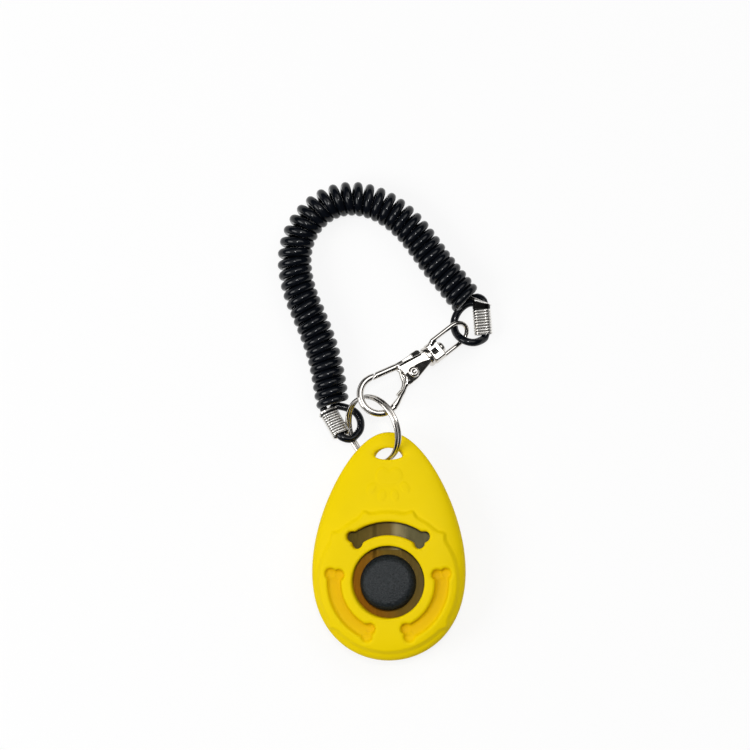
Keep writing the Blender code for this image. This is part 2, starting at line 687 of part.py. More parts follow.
def reed_reach(y):
    """Half the reed's width: round under the button, wide under the window, narrow at the pegs."""
    if y < 0.0:
        return sqrt(REED_RADIUS ** 2 - y ** 2)
    widening = smooth_step(y / REED_SHOULDER_Y)
    narrowing = smooth_step((y - REED_TAIL_Y[0]) / (REED_TAIL_Y[1] - REED_TAIL_Y[0]))
    wide = REED_RADIUS + (REED_HALF_WIDTH - REED_RADIUS) * widening
    return wide - (REED_HALF_WIDTH - REED_TAIL_HALF_WIDTH) * narrowing


def make_reed(spring_steel):
    """A round-ended blade with a pressed bead, hung on two pegs; its origin is on the bending line."""
    tip = -0.97 * REED_RADIUS
    shoulder = REED_SHOULDER_Y
    rows = [tip * cos(radians(turn)) for turn in (0.0, 25.0, 44.0, 62.0, 80.0)]
    rows += [0.3 * shoulder, 0.65 * shoulder, BEAD_Y[0] - BEAD_SLOPE, BEAD_Y[0] + BEAD_SLOPE]
    rows += [BEAD_Y[1] - BEAD_SLOPE, BEAD_Y[1] + BEAD_SLOPE, REED_HINGE_Y, REED_TAIL_Y[1]]
    loops = []
    for y in rows:
        reach = reed_reach(y)
        crest = BEAD_RISE if BEAD_Y[0] <= y <= BEAD_Y[1] else 0.0
        flank = min(BEAD_HALF_WIDTH + BEAD_SLOPE, 0.8 * reach)
        top = min(BEAD_HALF_WIDTH, 0.7 * reach)
        section = ((-reach, 0.0), (-flank, 0.0), (-top, crest), (top, crest), (flank, 0.0), (reach, 0.0))
        upper = [Vector((x, y - REED_HINGE_Y, z + REED_THICKNESS / 2.0)) for x, z in section]
        lower = [Vector((x, y - REED_HINGE_Y, z - REED_THICKNESS / 2.0)) for x, z in reversed(section)]
        loops.append(upper + lower)
    reed = add_object("click_reed", skin(loops), spring_steel)
    reed.location = (0.0, REED_HINGE_Y, REED_Z)
    places = [(0.0, -REED_HINGE_Y, REED_HOLE_RADIUS)]
    places += [(side * PEG_X, 0.0, PEG_HOLE_RADIUS) for side in (-1.0, 1.0)]
    for x, y, radius in places:
        hole = turned(((radius, -2.0 * MM), (radius, 2.0 * MM)), 20, (x, y))
        combine(reed, add_object("guide_reed_hole", hole, parent=reed))
    return reed


def ring_frame():
    """Ring axis along z, with x lying in the plane of the world's X and Z."""
    z = RING_NORMAL
    x = (Vector((1.0, 0.0, 0.0)) - z * z.x).normalized()
    y = z.cross(x)
    turn = Matrix((x, y, z)).transposed().to_4x4()
    return Matrix.Translation(RING_CENTRE) @ turn


def make_ring(nickel, parent):
    """Two flat turns of wire that cross over once, between their two ends."""
    sides = 8
    first = RING_SPLIT_ANGLE + RING_CROSSING
    last = RING_SPLIT_ANGLE + 720.0 - RING_CROSSING
    middle = RING_SPLIT_ANGLE + 360.0
    count = 66
    loops = []
    for i in range(count + 1):
        angle = first + (last - first) * i / count
        lift = RING_PITCH * (smooth_step((angle - middle + RING_CROSSING) / (2.0 * RING_CROSSING)) - 0.5)
        outward = polar(1.0, angle).to_3d()
        ring = []
        for k in range(sides):
            turn = 2.0 * pi * (k + 0.5) / sides
            reach = RING_RADIUS + RING_WIRE / 2.0 * cos(turn)
            ring.append(outward * reach + Vector((0.0, 0.0, lift + RING_WIRE / 2.0 * sin(turn))))
        loops.append(ring)
    return add_object("split_ring", skin(loops), nickel, parent)


def hook_frame():
    pitch = Matrix.Rotation(radians(HOOK_PITCH), 4, "Y")
    heading = Matrix.Rotation(radians(HOOK_HEADING), 4, "Z")
    return Matrix.Translation(HOOK_CENTRE) @ heading @ pitch


def on_swivel(builder):
    """Lay a turned shape, made about +Z, along the swivel axis, which is +X."""
    bmesh.ops.rotate(builder, verts=builder.verts, matrix=Matrix.Rotation(pi / 2.0, 3, "Y"))
    return builder


def block(outline, thickness):
    points = [(x * MM, y * MM) for x, y in outline]
    return prism(points, -thickness / 2.0, thickness / 2.0)


def pivot_bore():
    wide = PIVOT_RADIUS + SMALL_GAP
    return turned(((wide, -BODY_THICKNESS), (wide, BODY_THICKNESS)), 20)


def make_hook(nickel, parent):
    steps = 24
    path = []
    for k in range(steps + 1):
        angle = CLAW_TIP_ANGLE + (CLAW_END_ANGLE - CLAW_TIP_ANGLE) * k / steps
        path.append(polar(CLAW_RADIUS, angle).to_3d())
    spine = (polar(1.0, CLAW_END_ANGLE + 90.0)).to_3d()
    for share in (0.3, 0.6, 1.0):
        path.append(path[steps] + spine * SPINE_LENGTH * share)
    tip_cut = (SEAM_POINT - SEAM_NORMAL * SEAM_GAP / 2.0, SEAM_NORMAL)
    hook = add_object("hook_body", rod(path, CLAW_ROD / 2.0, 12, start_plane=tip_cut), nickel, parent)
    plate = add_object("guide_plate", block(HOOK_PLATE, BODY_THICKNESS), parent=parent)
    round_edges(plate, BODY_EDGE)
    combine(hook, plate, "UNION")
    neck = turned((
        (NECK_RADIUS, NECK_X[0]), (NECK_RADIUS, NECK_RING_X[0]), (NECK_RING_RADIUS, NECK_RING_X[1]),
        (NECK_RING_RADIUS, NECK_RING_X[2]), (NECK_RADIUS, NECK_X[1]),
    ), 20)
    combine(hook, add_object("guide_neck", on_swivel(neck), parent=parent), "UNION")
    combine(hook, add_object("guide_slot", block(HOOK_SLOT, SLOT_WIDTH), parent=parent))
    pivot = add_object("guide_pivot_bore", pivot_bore(), parent=parent)
    pivot.location = PIVOT
    combine(hook, pivot)
    wide = SHANK_RADIUS + SMALL_GAP
    bore = turned(((wide, SHANK_X[0] - TOUCH), (wide, SHANK_X[1])), 16)
    combine(hook, add_object("guide_shank_bore", on_swivel(bore), parent=parent))
    return hook


def make_gate(nickel, parent):
    """Gate with its origin on the rivet's axis."""
    path = [SEAM_POINT.lerp(GATE_BAR_END, k / 4.0) - PIVOT for k in range(5)]
    seam = (SEAM_POINT + SEAM_NORMAL * SEAM_GAP / 2.0 - PIVOT, SEAM_NORMAL)
    gate = add_object("hook_gate", rod(path, CLAW_ROD / 2.0, 12, start_plane=seam), nickel, parent)
    gate.location = PIVOT
    centre = PIVOT / MM
    outline = list(GATE_LEVER)
    for k in range(9):
        turn = radians(20.0 - 200.0 * k / 8.0)
        outline.append((centre.x + GATE_HUB_RADIUS * cos(turn), centre.y + GATE_HUB_RADIUS * sin(turn)))
    outline += GATE_ARM
    plate = block([(x - centre.x, y - centre.y) for x, y in outline], GATE_THICKNESS)
    combine(gate, add_object("guide_gate_hub", plate, parent=gate), "UNION")
    combine(gate, add_object("guide_gate_bore", pivot_bore(), parent=gate))
    return gate


def make_gate_rivet(nickel, parent):
    face = BODY_THICKNESS / 2.0 + SMALL_GAP
    top = face + PIVOT_HEAD_HEIGHT
    half = [
        (0.0, top), (PIVOT_HEAD_RADIUS * 0.7, top), (PIVOT_HEAD_RADIUS, face + PIVOT_HEAD_HEIGHT * 0.5),
        (PIVOT_HEAD_RADIUS, face), (PIVOT_RADIUS, face),
    ]
    profile = half + [(r, -z) for r, z in reversed(half)]
    rivet = add_object("gate_rivet", turned(profile, 24), nickel, parent)
    rivet.location = PIVOT
    return rivet


def make_gate_spring(spring_steel, parent):
    """Bent leaf that pushes the gate shut against the spine."""
    route = smooth_route([Vector((x, y, 0.0)) * MM for x, y in SPRING_ROUTE], 0.8 * MM)
    loops = []
    for i, point in enumerate(route):
        heading = (route[min(i + 1, len(route) - 1)] - route[max(i - 1, 0)]).normalized()
        side = Vector((-heading.y, heading.x, 0.0)) * SPRING_THICKNESS / 2.0
        up = Vector((0.0, 0.0, SPRING_WIDTH / 2.0))
        loops.append([point + side + up, point - side + up, point - side - up, point + side - up])
    return add_object("gate_spring", skin(loops), spring_steel, parent)


def make_eye(nickel, parent):
    """Swivel eye: a round base with a bail of bent rod, turned a little about its own axis."""
    low, high = EYE_BASE_X
    base = turned((
        (EYE_BASE_RADIUS * 0.75, low), (EYE_BASE_RADIUS, low + EYE_BASE_EDGE),
        (EYE_BASE_RADIUS, high - EYE_BASE_EDGE), (EYE_BASE_RADIUS * 0.85, high),
    ), 24)
    eye = add_object("swivel_eye", on_swivel(base), nickel, parent)
    eye.rotation_euler = (radians(EYE_ROLL), 0.0, 0.0)
    middle = (low + high) / 2.0
    path = [Vector((middle, BAIL_HALF_WIDTH, 0.0)), Vector((BAIL_STRAIGHT_X, BAIL_HALF_WIDTH, 0.0))]
    for k in range(13):
        turn = pi / 2.0 - pi * k / 12.0
        reach = BAIL_END_X - BAIL_BEND_X
        path.append(Vector((BAIL_BEND_X + reach * cos(turn), BAIL_HALF_WIDTH * sin(turn), 0.0)))
    path += [Vector((BAIL_STRAIGHT_X, -BAIL_HALF_WIDTH, 0.0)), Vector((middle, -BAIL_HALF_WIDTH, 0.0))]
    combine(eye, add_object("guide_bail", rod(path, BAIL_ROD / 2.0, 10), parent=eye), "UNION")
    wide = SHANK_RADIUS + SMALL_GAP
    bore = turned(((wide, SHANK_X[0]), (wide, BAIL_STRAIGHT_X)), 16)
    combine(eye, add_object("guide_eye_bore", on_swivel(bore), parent=eye))
    return eye


def make_swivel_rivet(nickel, parent):
    head = SHANK_X[1]
    top = head + SHANK_HEAD_HEIGHT
    profile = (
        (0.0, SHANK_X[0]), (SHANK_RADIUS, SHANK_X[0]), (SHANK_RADIUS, head), (SHANK_HEAD_RADIUS, head),
        (SHANK_HEAD_RADIUS, head + SHANK_HEAD_EDGE), (SHANK_HEAD_RADIUS * 0.6, top), (0.0, top),
    )
    return add_object("swivel_rivet", on_swivel(turned(profile, 20)), nickel, parent)


def ferrule_axes(ends, route):
    """Directions along a sleeve, across it towards the middle of its cord loop, and through it."""
    foot, head = ends
    axis = (head - foot).normalized()
    wide = Vector(route[len(route) // 2]) * MM - foot
    wide = (wide - axis * wide.dot(axis)).normalized()
    return axis, wide, axis.cross(wide)


def loop_route(ends, route):
    """A cord loop's route from one end of its sleeve round to the other, in millimetres."""
    axis, wide, _ = ferrule_axes(ends, route)
    start = ends[0] + wide * STRAND_OFFSET - axis * TOUCH
    end = ends[1] - wide * STRAND_OFFSET / 2.0 + axis * TOUCH
    leads = [start, start - axis * STRAND_LEAD], [end + axis * STRAND_LEAD, end]
    return [p / MM for p in leads[0]] + [Vector(p) for p in route] + [p / MM for p in leads[1]]


def make_ferrule(name, ends, route, nickel, parent):
    """Ribbed crimp sleeve between two ends; its wide side lies towards the cord loop."""
    foot, head = ends
    axis, wide, deep = ferrule_axes(ends, route)
    straight = (FERRULE_WIDTH - FERRULE_DEPTH) / 2.0
    sides = 12
    outline = []
    for k in range(sides):
        turn = 2.0 * pi * (k + 0.5) / sides
        outline.append((straight if cos(turn) > 0.0 else -straight, cos(turn), sin(turn)))
    length = (head - foot).length
    loops = []
    for i in range(2 * FERRULE_RIBS + 1):
        radius = FERRULE_DEPTH / 2.0 - (0.0 if i % 2 else RIB_DEPTH)
        place = foot + axis * length * i / (2.0 * FERRULE_RIBS)
        loops.append([place + wide * (offset + radius * c) + deep * radius * s for offset, c, s in outline])
    ferrule = add_object(name, skin(loops), nickel, parent)
    ferrule.matrix_parent_inverse = parent.matrix_world.inverted()
    return ferrule


def make_cord(black, nickel, parent):
    coil_route = [(x, y, COIL_Z) for x, y in COIL_ROUTE]
    cord_tube("cord_coil", coil_route, COIL_DIAMETER, 4.0 * MM, black, parent)
    for end, ends, route in (("ring_end", RING_FERRULE_ENDS, RING_LOOP_ROUTE),
                             ("hook_end", HOOK_FERRULE_ENDS, HOOK_LOOP_ROUTE)):
        cord_tube("cord_loop_" + end, loop_route(ends, route), CORD_DIAMETER, 1.2 * MM, black, parent)
        make_ferrule("ferrule_" + end, ends, route, nickel, parent)


def main():
    clear_scene()
    yellow = finish("yellow_plastic", (0.84, 0.62, 0.005), 0.42)
    black_plastic = finish("black_plastic", (0.03, 0.034, 0.036), 0.55)
    black_cord = finish("black_cord", (0.012, 0.013, 0.015), 0.28)
    nickel = finish("nickel", (0.78, 0.78, 0.77), 0.18, 1.0)
    steel = finish("steel", (0.62, 0.62, 0.60), 0.3, 1.0)
    spring_steel = finish("spring_steel", (0.50, 0.48, 0.44), 0.35, 1.0)
    make_case(yellow, steel)
    make_button(black_plastic)
    make_reed(spring_steel)
    swing = add_empty("ring_swing", Matrix.Translation(SWING_PIVOT))
    ring_axis = add_empty("ring_axis", Matrix.Translation(-SWING_PIVOT) @ ring_frame(), swing)
    make_ring(nickel, ring_axis)
    bpy.context.view_layer.update()
    hook_axis = add_empty("hook_axis", ring_frame().inverted() @ hook_frame(), ring_axis)
    bpy.context.view_layer.update()
    make_hook(nickel, hook_axis)
    make_gate(nickel, hook_axis)
    make_gate_rivet(nickel, hook_axis)
    make_gate_spring(spring_steel, hook_axis)
    make_eye(nickel, hook_axis)
    make_swivel_rivet(nickel, hook_axis)
    make_cord(black_cord, nickel, hook_axis)


main()
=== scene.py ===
"""Looks of a clicker trainer with a coiled wrist cord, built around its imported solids.

Shapes are worked out in millimetres in the solids' frame: +X right, +Y towards the cord tab, +Z up.
"""
from math import cos, pi, radians, sin, sqrt

import bpy
import numpy as np
from mathutils import Matrix, Vector

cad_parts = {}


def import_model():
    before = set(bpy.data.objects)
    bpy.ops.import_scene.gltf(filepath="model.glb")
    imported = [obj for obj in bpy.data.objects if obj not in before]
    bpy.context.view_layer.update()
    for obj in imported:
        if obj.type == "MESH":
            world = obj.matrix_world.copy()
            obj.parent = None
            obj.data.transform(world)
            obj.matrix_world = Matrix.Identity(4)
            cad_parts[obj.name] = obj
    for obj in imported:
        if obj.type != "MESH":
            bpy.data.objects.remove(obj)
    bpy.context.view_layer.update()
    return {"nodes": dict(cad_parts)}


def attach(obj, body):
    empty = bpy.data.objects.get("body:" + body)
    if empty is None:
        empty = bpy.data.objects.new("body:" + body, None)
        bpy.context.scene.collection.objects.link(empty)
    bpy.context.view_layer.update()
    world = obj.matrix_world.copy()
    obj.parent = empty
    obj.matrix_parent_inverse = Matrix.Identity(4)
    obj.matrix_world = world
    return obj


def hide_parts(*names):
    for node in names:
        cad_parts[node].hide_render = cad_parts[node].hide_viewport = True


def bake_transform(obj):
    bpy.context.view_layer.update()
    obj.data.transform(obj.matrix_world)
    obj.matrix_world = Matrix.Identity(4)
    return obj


MM = 0.001

# Camera and studio, in metres; a place in the sky is an azimuth and an angle from the zenith
FRAME_WIDTH = 0.19685
FRAME_CENTRE = (-0.0036, 0.0544)
FOCUS_Z = 0.008
CAMERA_DISTANCE = 1.6
CAMERA_LEAN = (0.095, -0.05)
SENSOR_WIDTH = 36.0
FLOOR_HALF = 3.0
FLOOR_GLOW = 0.85
CEILING = 0.62
CEILING_EDGE = (54.0, 32.0)
HORIZON = 0.02
DARK_PATCH = (-40.0, 45.0)
DARK_PATCH_EDGE = (48.0, 22.0)
SOFT_BOX = (45.0, 38.0)
SOFT_BOX_EDGE = (22.0, 17.0)
SOFT_BOX_LEVEL = 1.8
LAMP_AIM = (-0.003, 0.045, 0.0)
LAMPS = (
    ("overhead", (0.10, 0.16, 1.35), 0.17, 5.3),
    ("left_box", (-0.72, -0.10, 0.68), 0.6, 4.6),
)

# Case; each grid is the low corner, the high corner and the step that a shape is meshed with
FRONT_GRID = ((-20.8, -21.2, 9.2), (20.8, 40.0, 14.6), 0.2)
BACK_GRID = ((-20.8, -21.2, -0.4), (20.8, 40.0, 9.7), 0.3)
TOUCH = 0.30
CASE_EGG = (19.6, 4.85, 30.0, 9.475)
CAVITY_EGG = (17.6, 2.0, 21.9, 3.6)
PARTING_Z = 9.4
FRONT_HEIGHTS = (3.6, 1.55)
FRONT_FALL_Y = (14.0, 37.0)
FRONT_ROUNDING = (6.0, 2.2)
BACK_DEPTHS = (9.9, 1.55)
BACK_RISE_Y = (8.0, 36.0)
BACK_ROUNDING = (8.0, 2.4)
WALL = 1.8
INNER_FLOOR_Z = 2.0
STRAIGHT_WALL = 1.2
LIP_GAP = 1.2
SEAM_EDGE = 0.25
PLATFORM_RADIUS = 18.4
PLATFORM_RISE = 0.65
PLATFORM_SLOPE = 1.3
BUMP_HEIGHT = 1.1
BUMP_SPREAD = 3.6
BUMP_ANGLES = (41.0, 71.0, 109.0, 139.0, 217.0, 323.0)
BUTTON_HOLE_RADIUS = 9.5
HOLE_EDGE = 0.8
LEAN_Z = 13.4
HOLE_LEAN = (0.22, 0.18)
WINDOW_EDGE = 0.9
WINDOW_LEAN = (0.2, -0.05)
RECESS_EDGE = 1.0
RECESS_DEPTH = 1.5
RECESS_FLOOR = 0.9
# Painted shade: the front's yellow is darkened towards orange by its depth below the top, over this depth
SUNK_DEPTH = 2.4
SUNK_SHADE = (
    (0.08, (1.0, 1.0, 1.0)), (0.64, (0.88, 0.71, 1.0)), (0.74, (0.5, 0.27, 1.0)), (1.0, (0.3, 0.13, 1.0)),
)
BONE_ANGLES = (90.0, 210.0, 330.0)
BONE_HALF_ANGLE = 38.5
SHANK_SHORTER = 2.0
BONE_RADII = (12.4, 15.9)
KNOB_RADIUS = 1.4
KNOB_RADII = (13.1, 15.3)
TAB_LOW = 32.4
TAB_HIGH = 35.3
TAB_CORNER = 1.7
TAB_HALF_WIDTH = 3.75
TAB_FACE_Z = 11.0
TAB_SLANT = 0.95
TAB_FLARE = 2.2
TAB_FRONT_FLARE = (0.9, 2.3)
TAB_BACK_FLARE = (0.7, 3.9)
PAW_RISE = 0.13
PAW_SLOPE = 0.7
PAW_PAD = ((0.2, 27.2), (3.1, 1.7))
PAW_LOBE_OFFSET = 1.8
PAW_LOBE_Y = 28.4
PAW_LOBE_HALF = (1.5, 1.7)
PAW_LOBE_SPLAY = 20.0
PAW_TOES = ((-4.4, 24.6, -32.0), (-1.6, 22.7, -10.0), (1.7, 22.8, 12.0), (4.4, 24.9, 34.0))
PAW_TOE_HALF = (0.95, 1.45)
SCREW_PLACES = ((-11.3, -6.9), (11.3, -6.9), (0.0, 21.4))
SCREW_HEAD_RADIUS = 1.9
SCREW_HEAD_HEIGHT = 1.1
SCREW_HEAD_Z = 0.5
SCREW_SEAT_GAP = 0.2
SCREW_BOSS_RADIUS = 3.2
SCREW_BOSS_HALF = 1.6

# Button and reed
BUTTON_RADIUS = 7.3
BUTTON_TOP_Z = 14.8
BUTTON_EDGE = 2.3
BUTTON_CROWN = 0.25
BUTTON_SIDE_Z = 11.6
BUTTON_SIDES = 96
BUTTON_SKIRT_Z = 10.9
BUTTON_SKIRT_EDGE = 0.2
BUTTON_WALL = 1.2
BUTTON_ROOF_Z = 12.9
BUTTON_STEM = (
    (2.2, 9.6), (1.5, 9.6), (1.5, 8.35), (2.9, 8.35), (2.9, 7.9), (2.03, 7.45), (0.0, 7.45),
)

REED_GRID = ((-11.9, -10.4, 8.4), (11.9, 19.2, 10.0), 0.16)
REED_Z = 9.0
REED_THICKNESS = 0.4
REED_RADIUS = 9.8
REED_HALF_WIDTH = 11.2
REED_TAIL_HALF_WIDTH = 8.6
REED_SHOULDER_Y = 5.0
REED_TAIL_Y = (14.6, 18.6)
REED_HOLES = ((0.0, 0.0, 2.15), (-6.0, 17.2, 1.6), (6.0, 17.2, 1.6))
BEAD_RISE = 0.12
BEAD_HALF_WIDTH = 3.1
BEAD_FLANK = 1.3
BEAD_Y = (5.0, 16.9)
BEAD_RUN_OUT = 1.2
# Painted shade and light on the blade: straw and dark browns set across it and by lying round the button or
# under the window, with one painted light band
STRAW_SHADE_LEAN = 0.6
STRAW_SHADE_SPLIT_Y = 8.5
STRAW_SHADE_MIDDLES = (0.775, 0.225)
STRAW_SHADE_HALF = 0.225
STRAW_SHADE_COLOURS = (
    (0.0, (0.15, 0.055, 0.003)), (0.2, (0.075, 0.045, 0.007)), (0.45, (0.062, 0.044, 0.013)),
    (0.55, (0.053, 0.038, 0.008)), (0.78, (0.073, 0.048, 0.013)), (0.82, (0.15, 0.122, 0.06)),
    (0.90, (0.063, 0.055, 0.026)),
)

# Split ring
RING_RADIUS = 8.9
RING_WIRE = 1.02
RING_PITCH = 1.07
RING_CENTRE = Vector((-4.13, 40.22, 8.55))
RING_NORMAL = Vector((-0.639, -0.283, 0.715)).normalized()
RING_CROSSING = 15.0
RING_SPLIT_ANGLE = 250.0
RING_STEPS = 260
RING_SIDES = 14

# Snap hook, in a frame of its own with +X from the claw to the eye; a drum is low, high, radius and edge
HOOK_GRID = ((-6.4, -6.4, -3.1), (19.0, 6.4, 3.1), 0.11)
GATE_GRID = ((0.6, -2.8, -1.3), (17.2, 6.1, 1.3), 0.11)
EYE_GRID = ((17.4, -3.6, -3.3), (31.3, 4.1, 3.3), 0.11)
HOOK_CENTRE = Vector((-2.41, 49.16, 12.45))
HOOK_HEADING = 38.7
HOOK_PITCH = 18.0
CLAW_RADIUS = 5.03
CLAW_ROD = 0.9
CLAW_TIP_ANGLE = 69.0
CLAW_END_ANGLE = 285.0
CLAW_OVERLAP = 8.0
CLAW_STEPS = 26
CLAW_ROOT = [(2.9, -4.45), (4.4, -3.85), (5.6, -3.4)]
CLAW_TAPER = 0.4
CLAW_TAPER_START = 1.3
CLAW_TAPER_RUN = 4.0
SEAM_POINT = (1.95, 4.65)
SEAM_NORMAL = (0.639, -0.769)
SEAM_GAP = 0.25
SPINE_OUTER = [
    (9.2, -2.9), (8.3, -2.85), (7.3, -3.05), (6.3, -3.6), (5.1, -4.1), (3.9, -4.65), (2.6, -5.3), (1.2, -5.7),
]
SPINE_INNER = [(1.2, -4.2), (3.0, -3.75), (4.4, -3.3), (5.5, -2.9), (6.6, -2.3), (7.4, -1.6), (8.6, -1.2)]
SPINE_HALF = 1.1
SPINE_EDGE = 0.75
SPINE_SLOPE = 0.62
PLATE_OUTLINE = [
    (8.2, 3.3), (9.4, 3.1), (16.3, 1.75), (16.7, 1.45), (16.7, -1.45), (16.3, -1.75), (10.9, -2.95),
    (8.4, -2.9), (7.6, -2.4), (8.0, -1.6), (8.5, -0.7), (8.6, 0.6), (8.3, 1.9),
]
PLATE_HALF = 1.75
CREASE_TOP = (11.5, 0.3)
CREASE_CURVE = 0.05
FACET_SLOPE = 0.30
LEVER_LINE = ((9.0, 2.6), (15.3, 1.6))
LEVER_LINE_WIDTH = 0.24
LEVER_LINE_FLOOR = 1.3
LEVER_LINE_DARK = 1.0
SLOT_OUTLINE = [
    (6.3, 5.0), (14.3, 5.0), (14.3, -0.2), (12.7, -1.6), (11.6, -2.25), (10.1, -2.25), (9.2, -1.75),
    (7.0, -1.6),
]
SLOT_HALF = 0.9
NECK_DRUM = (15.6, 17.5, 1.5, 0.2)
COLLAR_DRUM = (16.4, 17.5, 2.75, 0.35)
PIVOT = (10.85, -0.94)
PIVOT_BORE = 1.05
GATE_FAR = (9.8, 2.75)
GATE_OVERLAP = 0.2
GATE_TOP = [
    (8.4, 3.55), (9.4, 3.6), (13.2, 3.35), (13.7, 3.6), (15.7, 3.45), (16.2, 3.0), (15.9, 1.9), (14.0, 1.9),
    (13.2, 1.2), (12.5, 0.3),
]
GATE_HEEL = [(9.5, 0.6), (9.2, 1.9), (8.4, 2.4)]
GATE_HUB_RADIUS = 1.25
GATE_HUB_ANGLES = (20.0, -180.0)
GATE_HALF = 0.75
THUMB_SLOPE = 0.75
THUMB_EDGE = (14.5, 2.1)
THUMB_EDGE_SLANT = 0.16
THUMB_START = 13.4
THUMB_RUN = 0.4
SWIVEL_BORE = 0.88
SWIVEL_BORE_ENDS = (14.9, 23.0)
EYE_ROLL = 32.0
EYE_DRUM = (17.8, 20.95, 2.9, 0.3)
EYE_DRUM_HALF = 1.8
BAIL_ROD = 0.6
BAIL_LEGS = (
    [(19.3, 2.0), (19.5, 2.75), (20.2, 3.1), (23.1, 3.1)],
    [(23.1, -2.6), (20.2, -2.6), (19.5, -2.3), (19.3, -1.6)],
)
BAIL_END = (26.7, 0.25)
BAIL_END_HALF = (3.6, 2.85)
EYE_POCKET = (19.0, 0.75, 0.7)
EYE_POCKET_FLOOR = 1.0
EYE_POCKET_RIM = 1.6
GATE_PIN_HALF = [
    (0.0, 2.26), (0.4, 2.3), (0.58, 2.42), (0.7, 2.46), (0.85, 2.46), (1.1, 2.38), (1.3, 2.24), (1.42, 2.05),
    (1.42, 1.2), (0.85, 1.2),
]
PIN_SIDES = 48
SWIVEL_PIN = [
    (0.0, 15.2), (0.68, 15.2), (0.68, 21.1), (1.5, 21.1), (1.5, 21.6), (1.3, 21.9), (0.9, 22.1), (0.0, 22.25),
]
LEAF_ROUTE = (
    (8.6, 1.9), (8.3, 1.1), (7.85, 0.1), (7.5, -0.9), (6.9, -1.8), (5.9, -2.45), (4.8, -2.8), (3.8, -3.0),
)
LEAF_THICKNESS = 0.75
LEAF_WIDTH = 1.5
LEAF_STEP = 0.2
LEAF_SIDES = 16

# Looks; a noise mostly lies within its range
NOISE_RANGE = (0.3, 0.7)
# Painted shade that darkens marked grooves, pockets and lines on metal
GROOVE_SHADE = ((0.2, (1.0, 1.0, 1.0)), (0.75, (0.03, 0.03, 0.03)))

# Cord
CORD_RADII = (1.02, 1.16)
CORD_END = 42.0
CORD_END_RUN = 12.0
CORD_STEP = 0.7
CORD_SIDES = 14
COIL_RADIUS = 3.38
COIL_Z = 4.6
COIL_START = -30.0
COIL_STOP = -70.0
COIL_OVERRUN = (0.9, 1.2)
COIL_BOW = (-0.45, 0.6)
COIL_PITCH = (
    (0.0, 2.33), (0.27, 2.33), (0.42, 2.7), (0.6, 2.7), (0.76, 2.5), (0.86, 2.28), (1.0, 2.28),
)
COIL_STEP = 0.25
POINTS_PER_TURN = 12.0
COIL_ROUTE = (
    (-15.2, 47.9), (-16.1, 53.7), (-17.2, 59.2), (-18.9, 64.6), (-21.0, 69.9), (-23.1, 75.1), (-24.5, 80.8),
    (-24.6, 86.4), (-23.0, 91.8), (-19.7, 96.4), (-15.1, 99.5), (-9.5, 100.6), (-3.7, 99.5), (1.3, 96.8),
    (5.5, 93.1), (9.0, 88.7), (12.3, 84.1), (15.8, 79.7), (19.7, 74.9),
)
RING_LOOP_ROUTE = (
    (-14.75, 46.5, 1.45), (-13.0, 46.4, 1.35), (-11.2, 45.9, 1.3), (-9.7, 45.2, 1.4), (-8.4, 43.8, 1.8),
    (-7.8, 42.1, 2.6), (-7.9, 40.3, 3.6), (-8.9, 38.8, 4.4), (-10.4, 37.7, 5.1),
)
HOOK_LOOP_ROUTE = (
    (22.2, 73.6, 2.2), (20.4, 73.5, 2.0), (18.5, 72.1, 1.7), (17.2, 70.1, 1.5), (16.8, 67.9, 1.8),
    (17.4, 65.7, 3.7), (18.9, 64.1, 5.6), (20.9, 63.2, 6.1), (22.9, 63.2, 5.3),
)
RING_FERRULE_ENDS = (Vector((-16.0, 44.4, 2.6)), Vector((-12.8, 39.1, 5.2)))
HOOK_FERRULE_ENDS = (Vector((24.1, 71.9, 2.5)), Vector((24.6, 65.4, 2.9)))
HOOK_LEAD = ((24.5, 74.4, 2.4), (23.0, 75.2, 1.9))
STRAND_OFFSET = 0.95
STOPPED_STRAND = (3.0, 1.2, 0.0, -0.7)
PASSING_STRAND = (3.4, 1.0, 0.0, -1.0)
PASSING_ENTRY = ((0.3, 1.0), (0.75, -1.0))
FERRULE_WIDTH = 5.0
FERRULE_DEPTH = 3.1
FERRULE_RIBS = 9
FERRULE_SIDES = 40
RIB_DEPTH = 0.45
LIP_WALL = 0.3
LIP_SINK = 0.8
LIP_ROD = 0.5
LIP_FLARE = 0.25
RING_SLEEVE_TURN = (0.1, 0.0)
HOOK_SLEEVE_TURN = (1.5, 0.3)
DOME_LEANS = (20.0, 45.0, 75.0)


def smooth(value):
    """Ease from 0 to 1 without corners."""
    value = np.clip(value, 0.0, 1.0)
    return value * value * (3.0 - 2.0 * value)


def union(a, b, radius):
    """Two fields as one body; the seam between them is filled to about the radius."""
    near = np.maximum(radius - np.abs(a - b), 0.0) / radius
    return np.minimum(a, b) - near * near * radius / 4.0


def common(a, b, radius):
    """What two fields share, with the edge rounded to about the radius."""
    return -union(-a, -b, radius)


def cut(a, b, radius):
    """Field a without b, with the edge rounded to about the radius."""
    return -union(-a, b, radius)


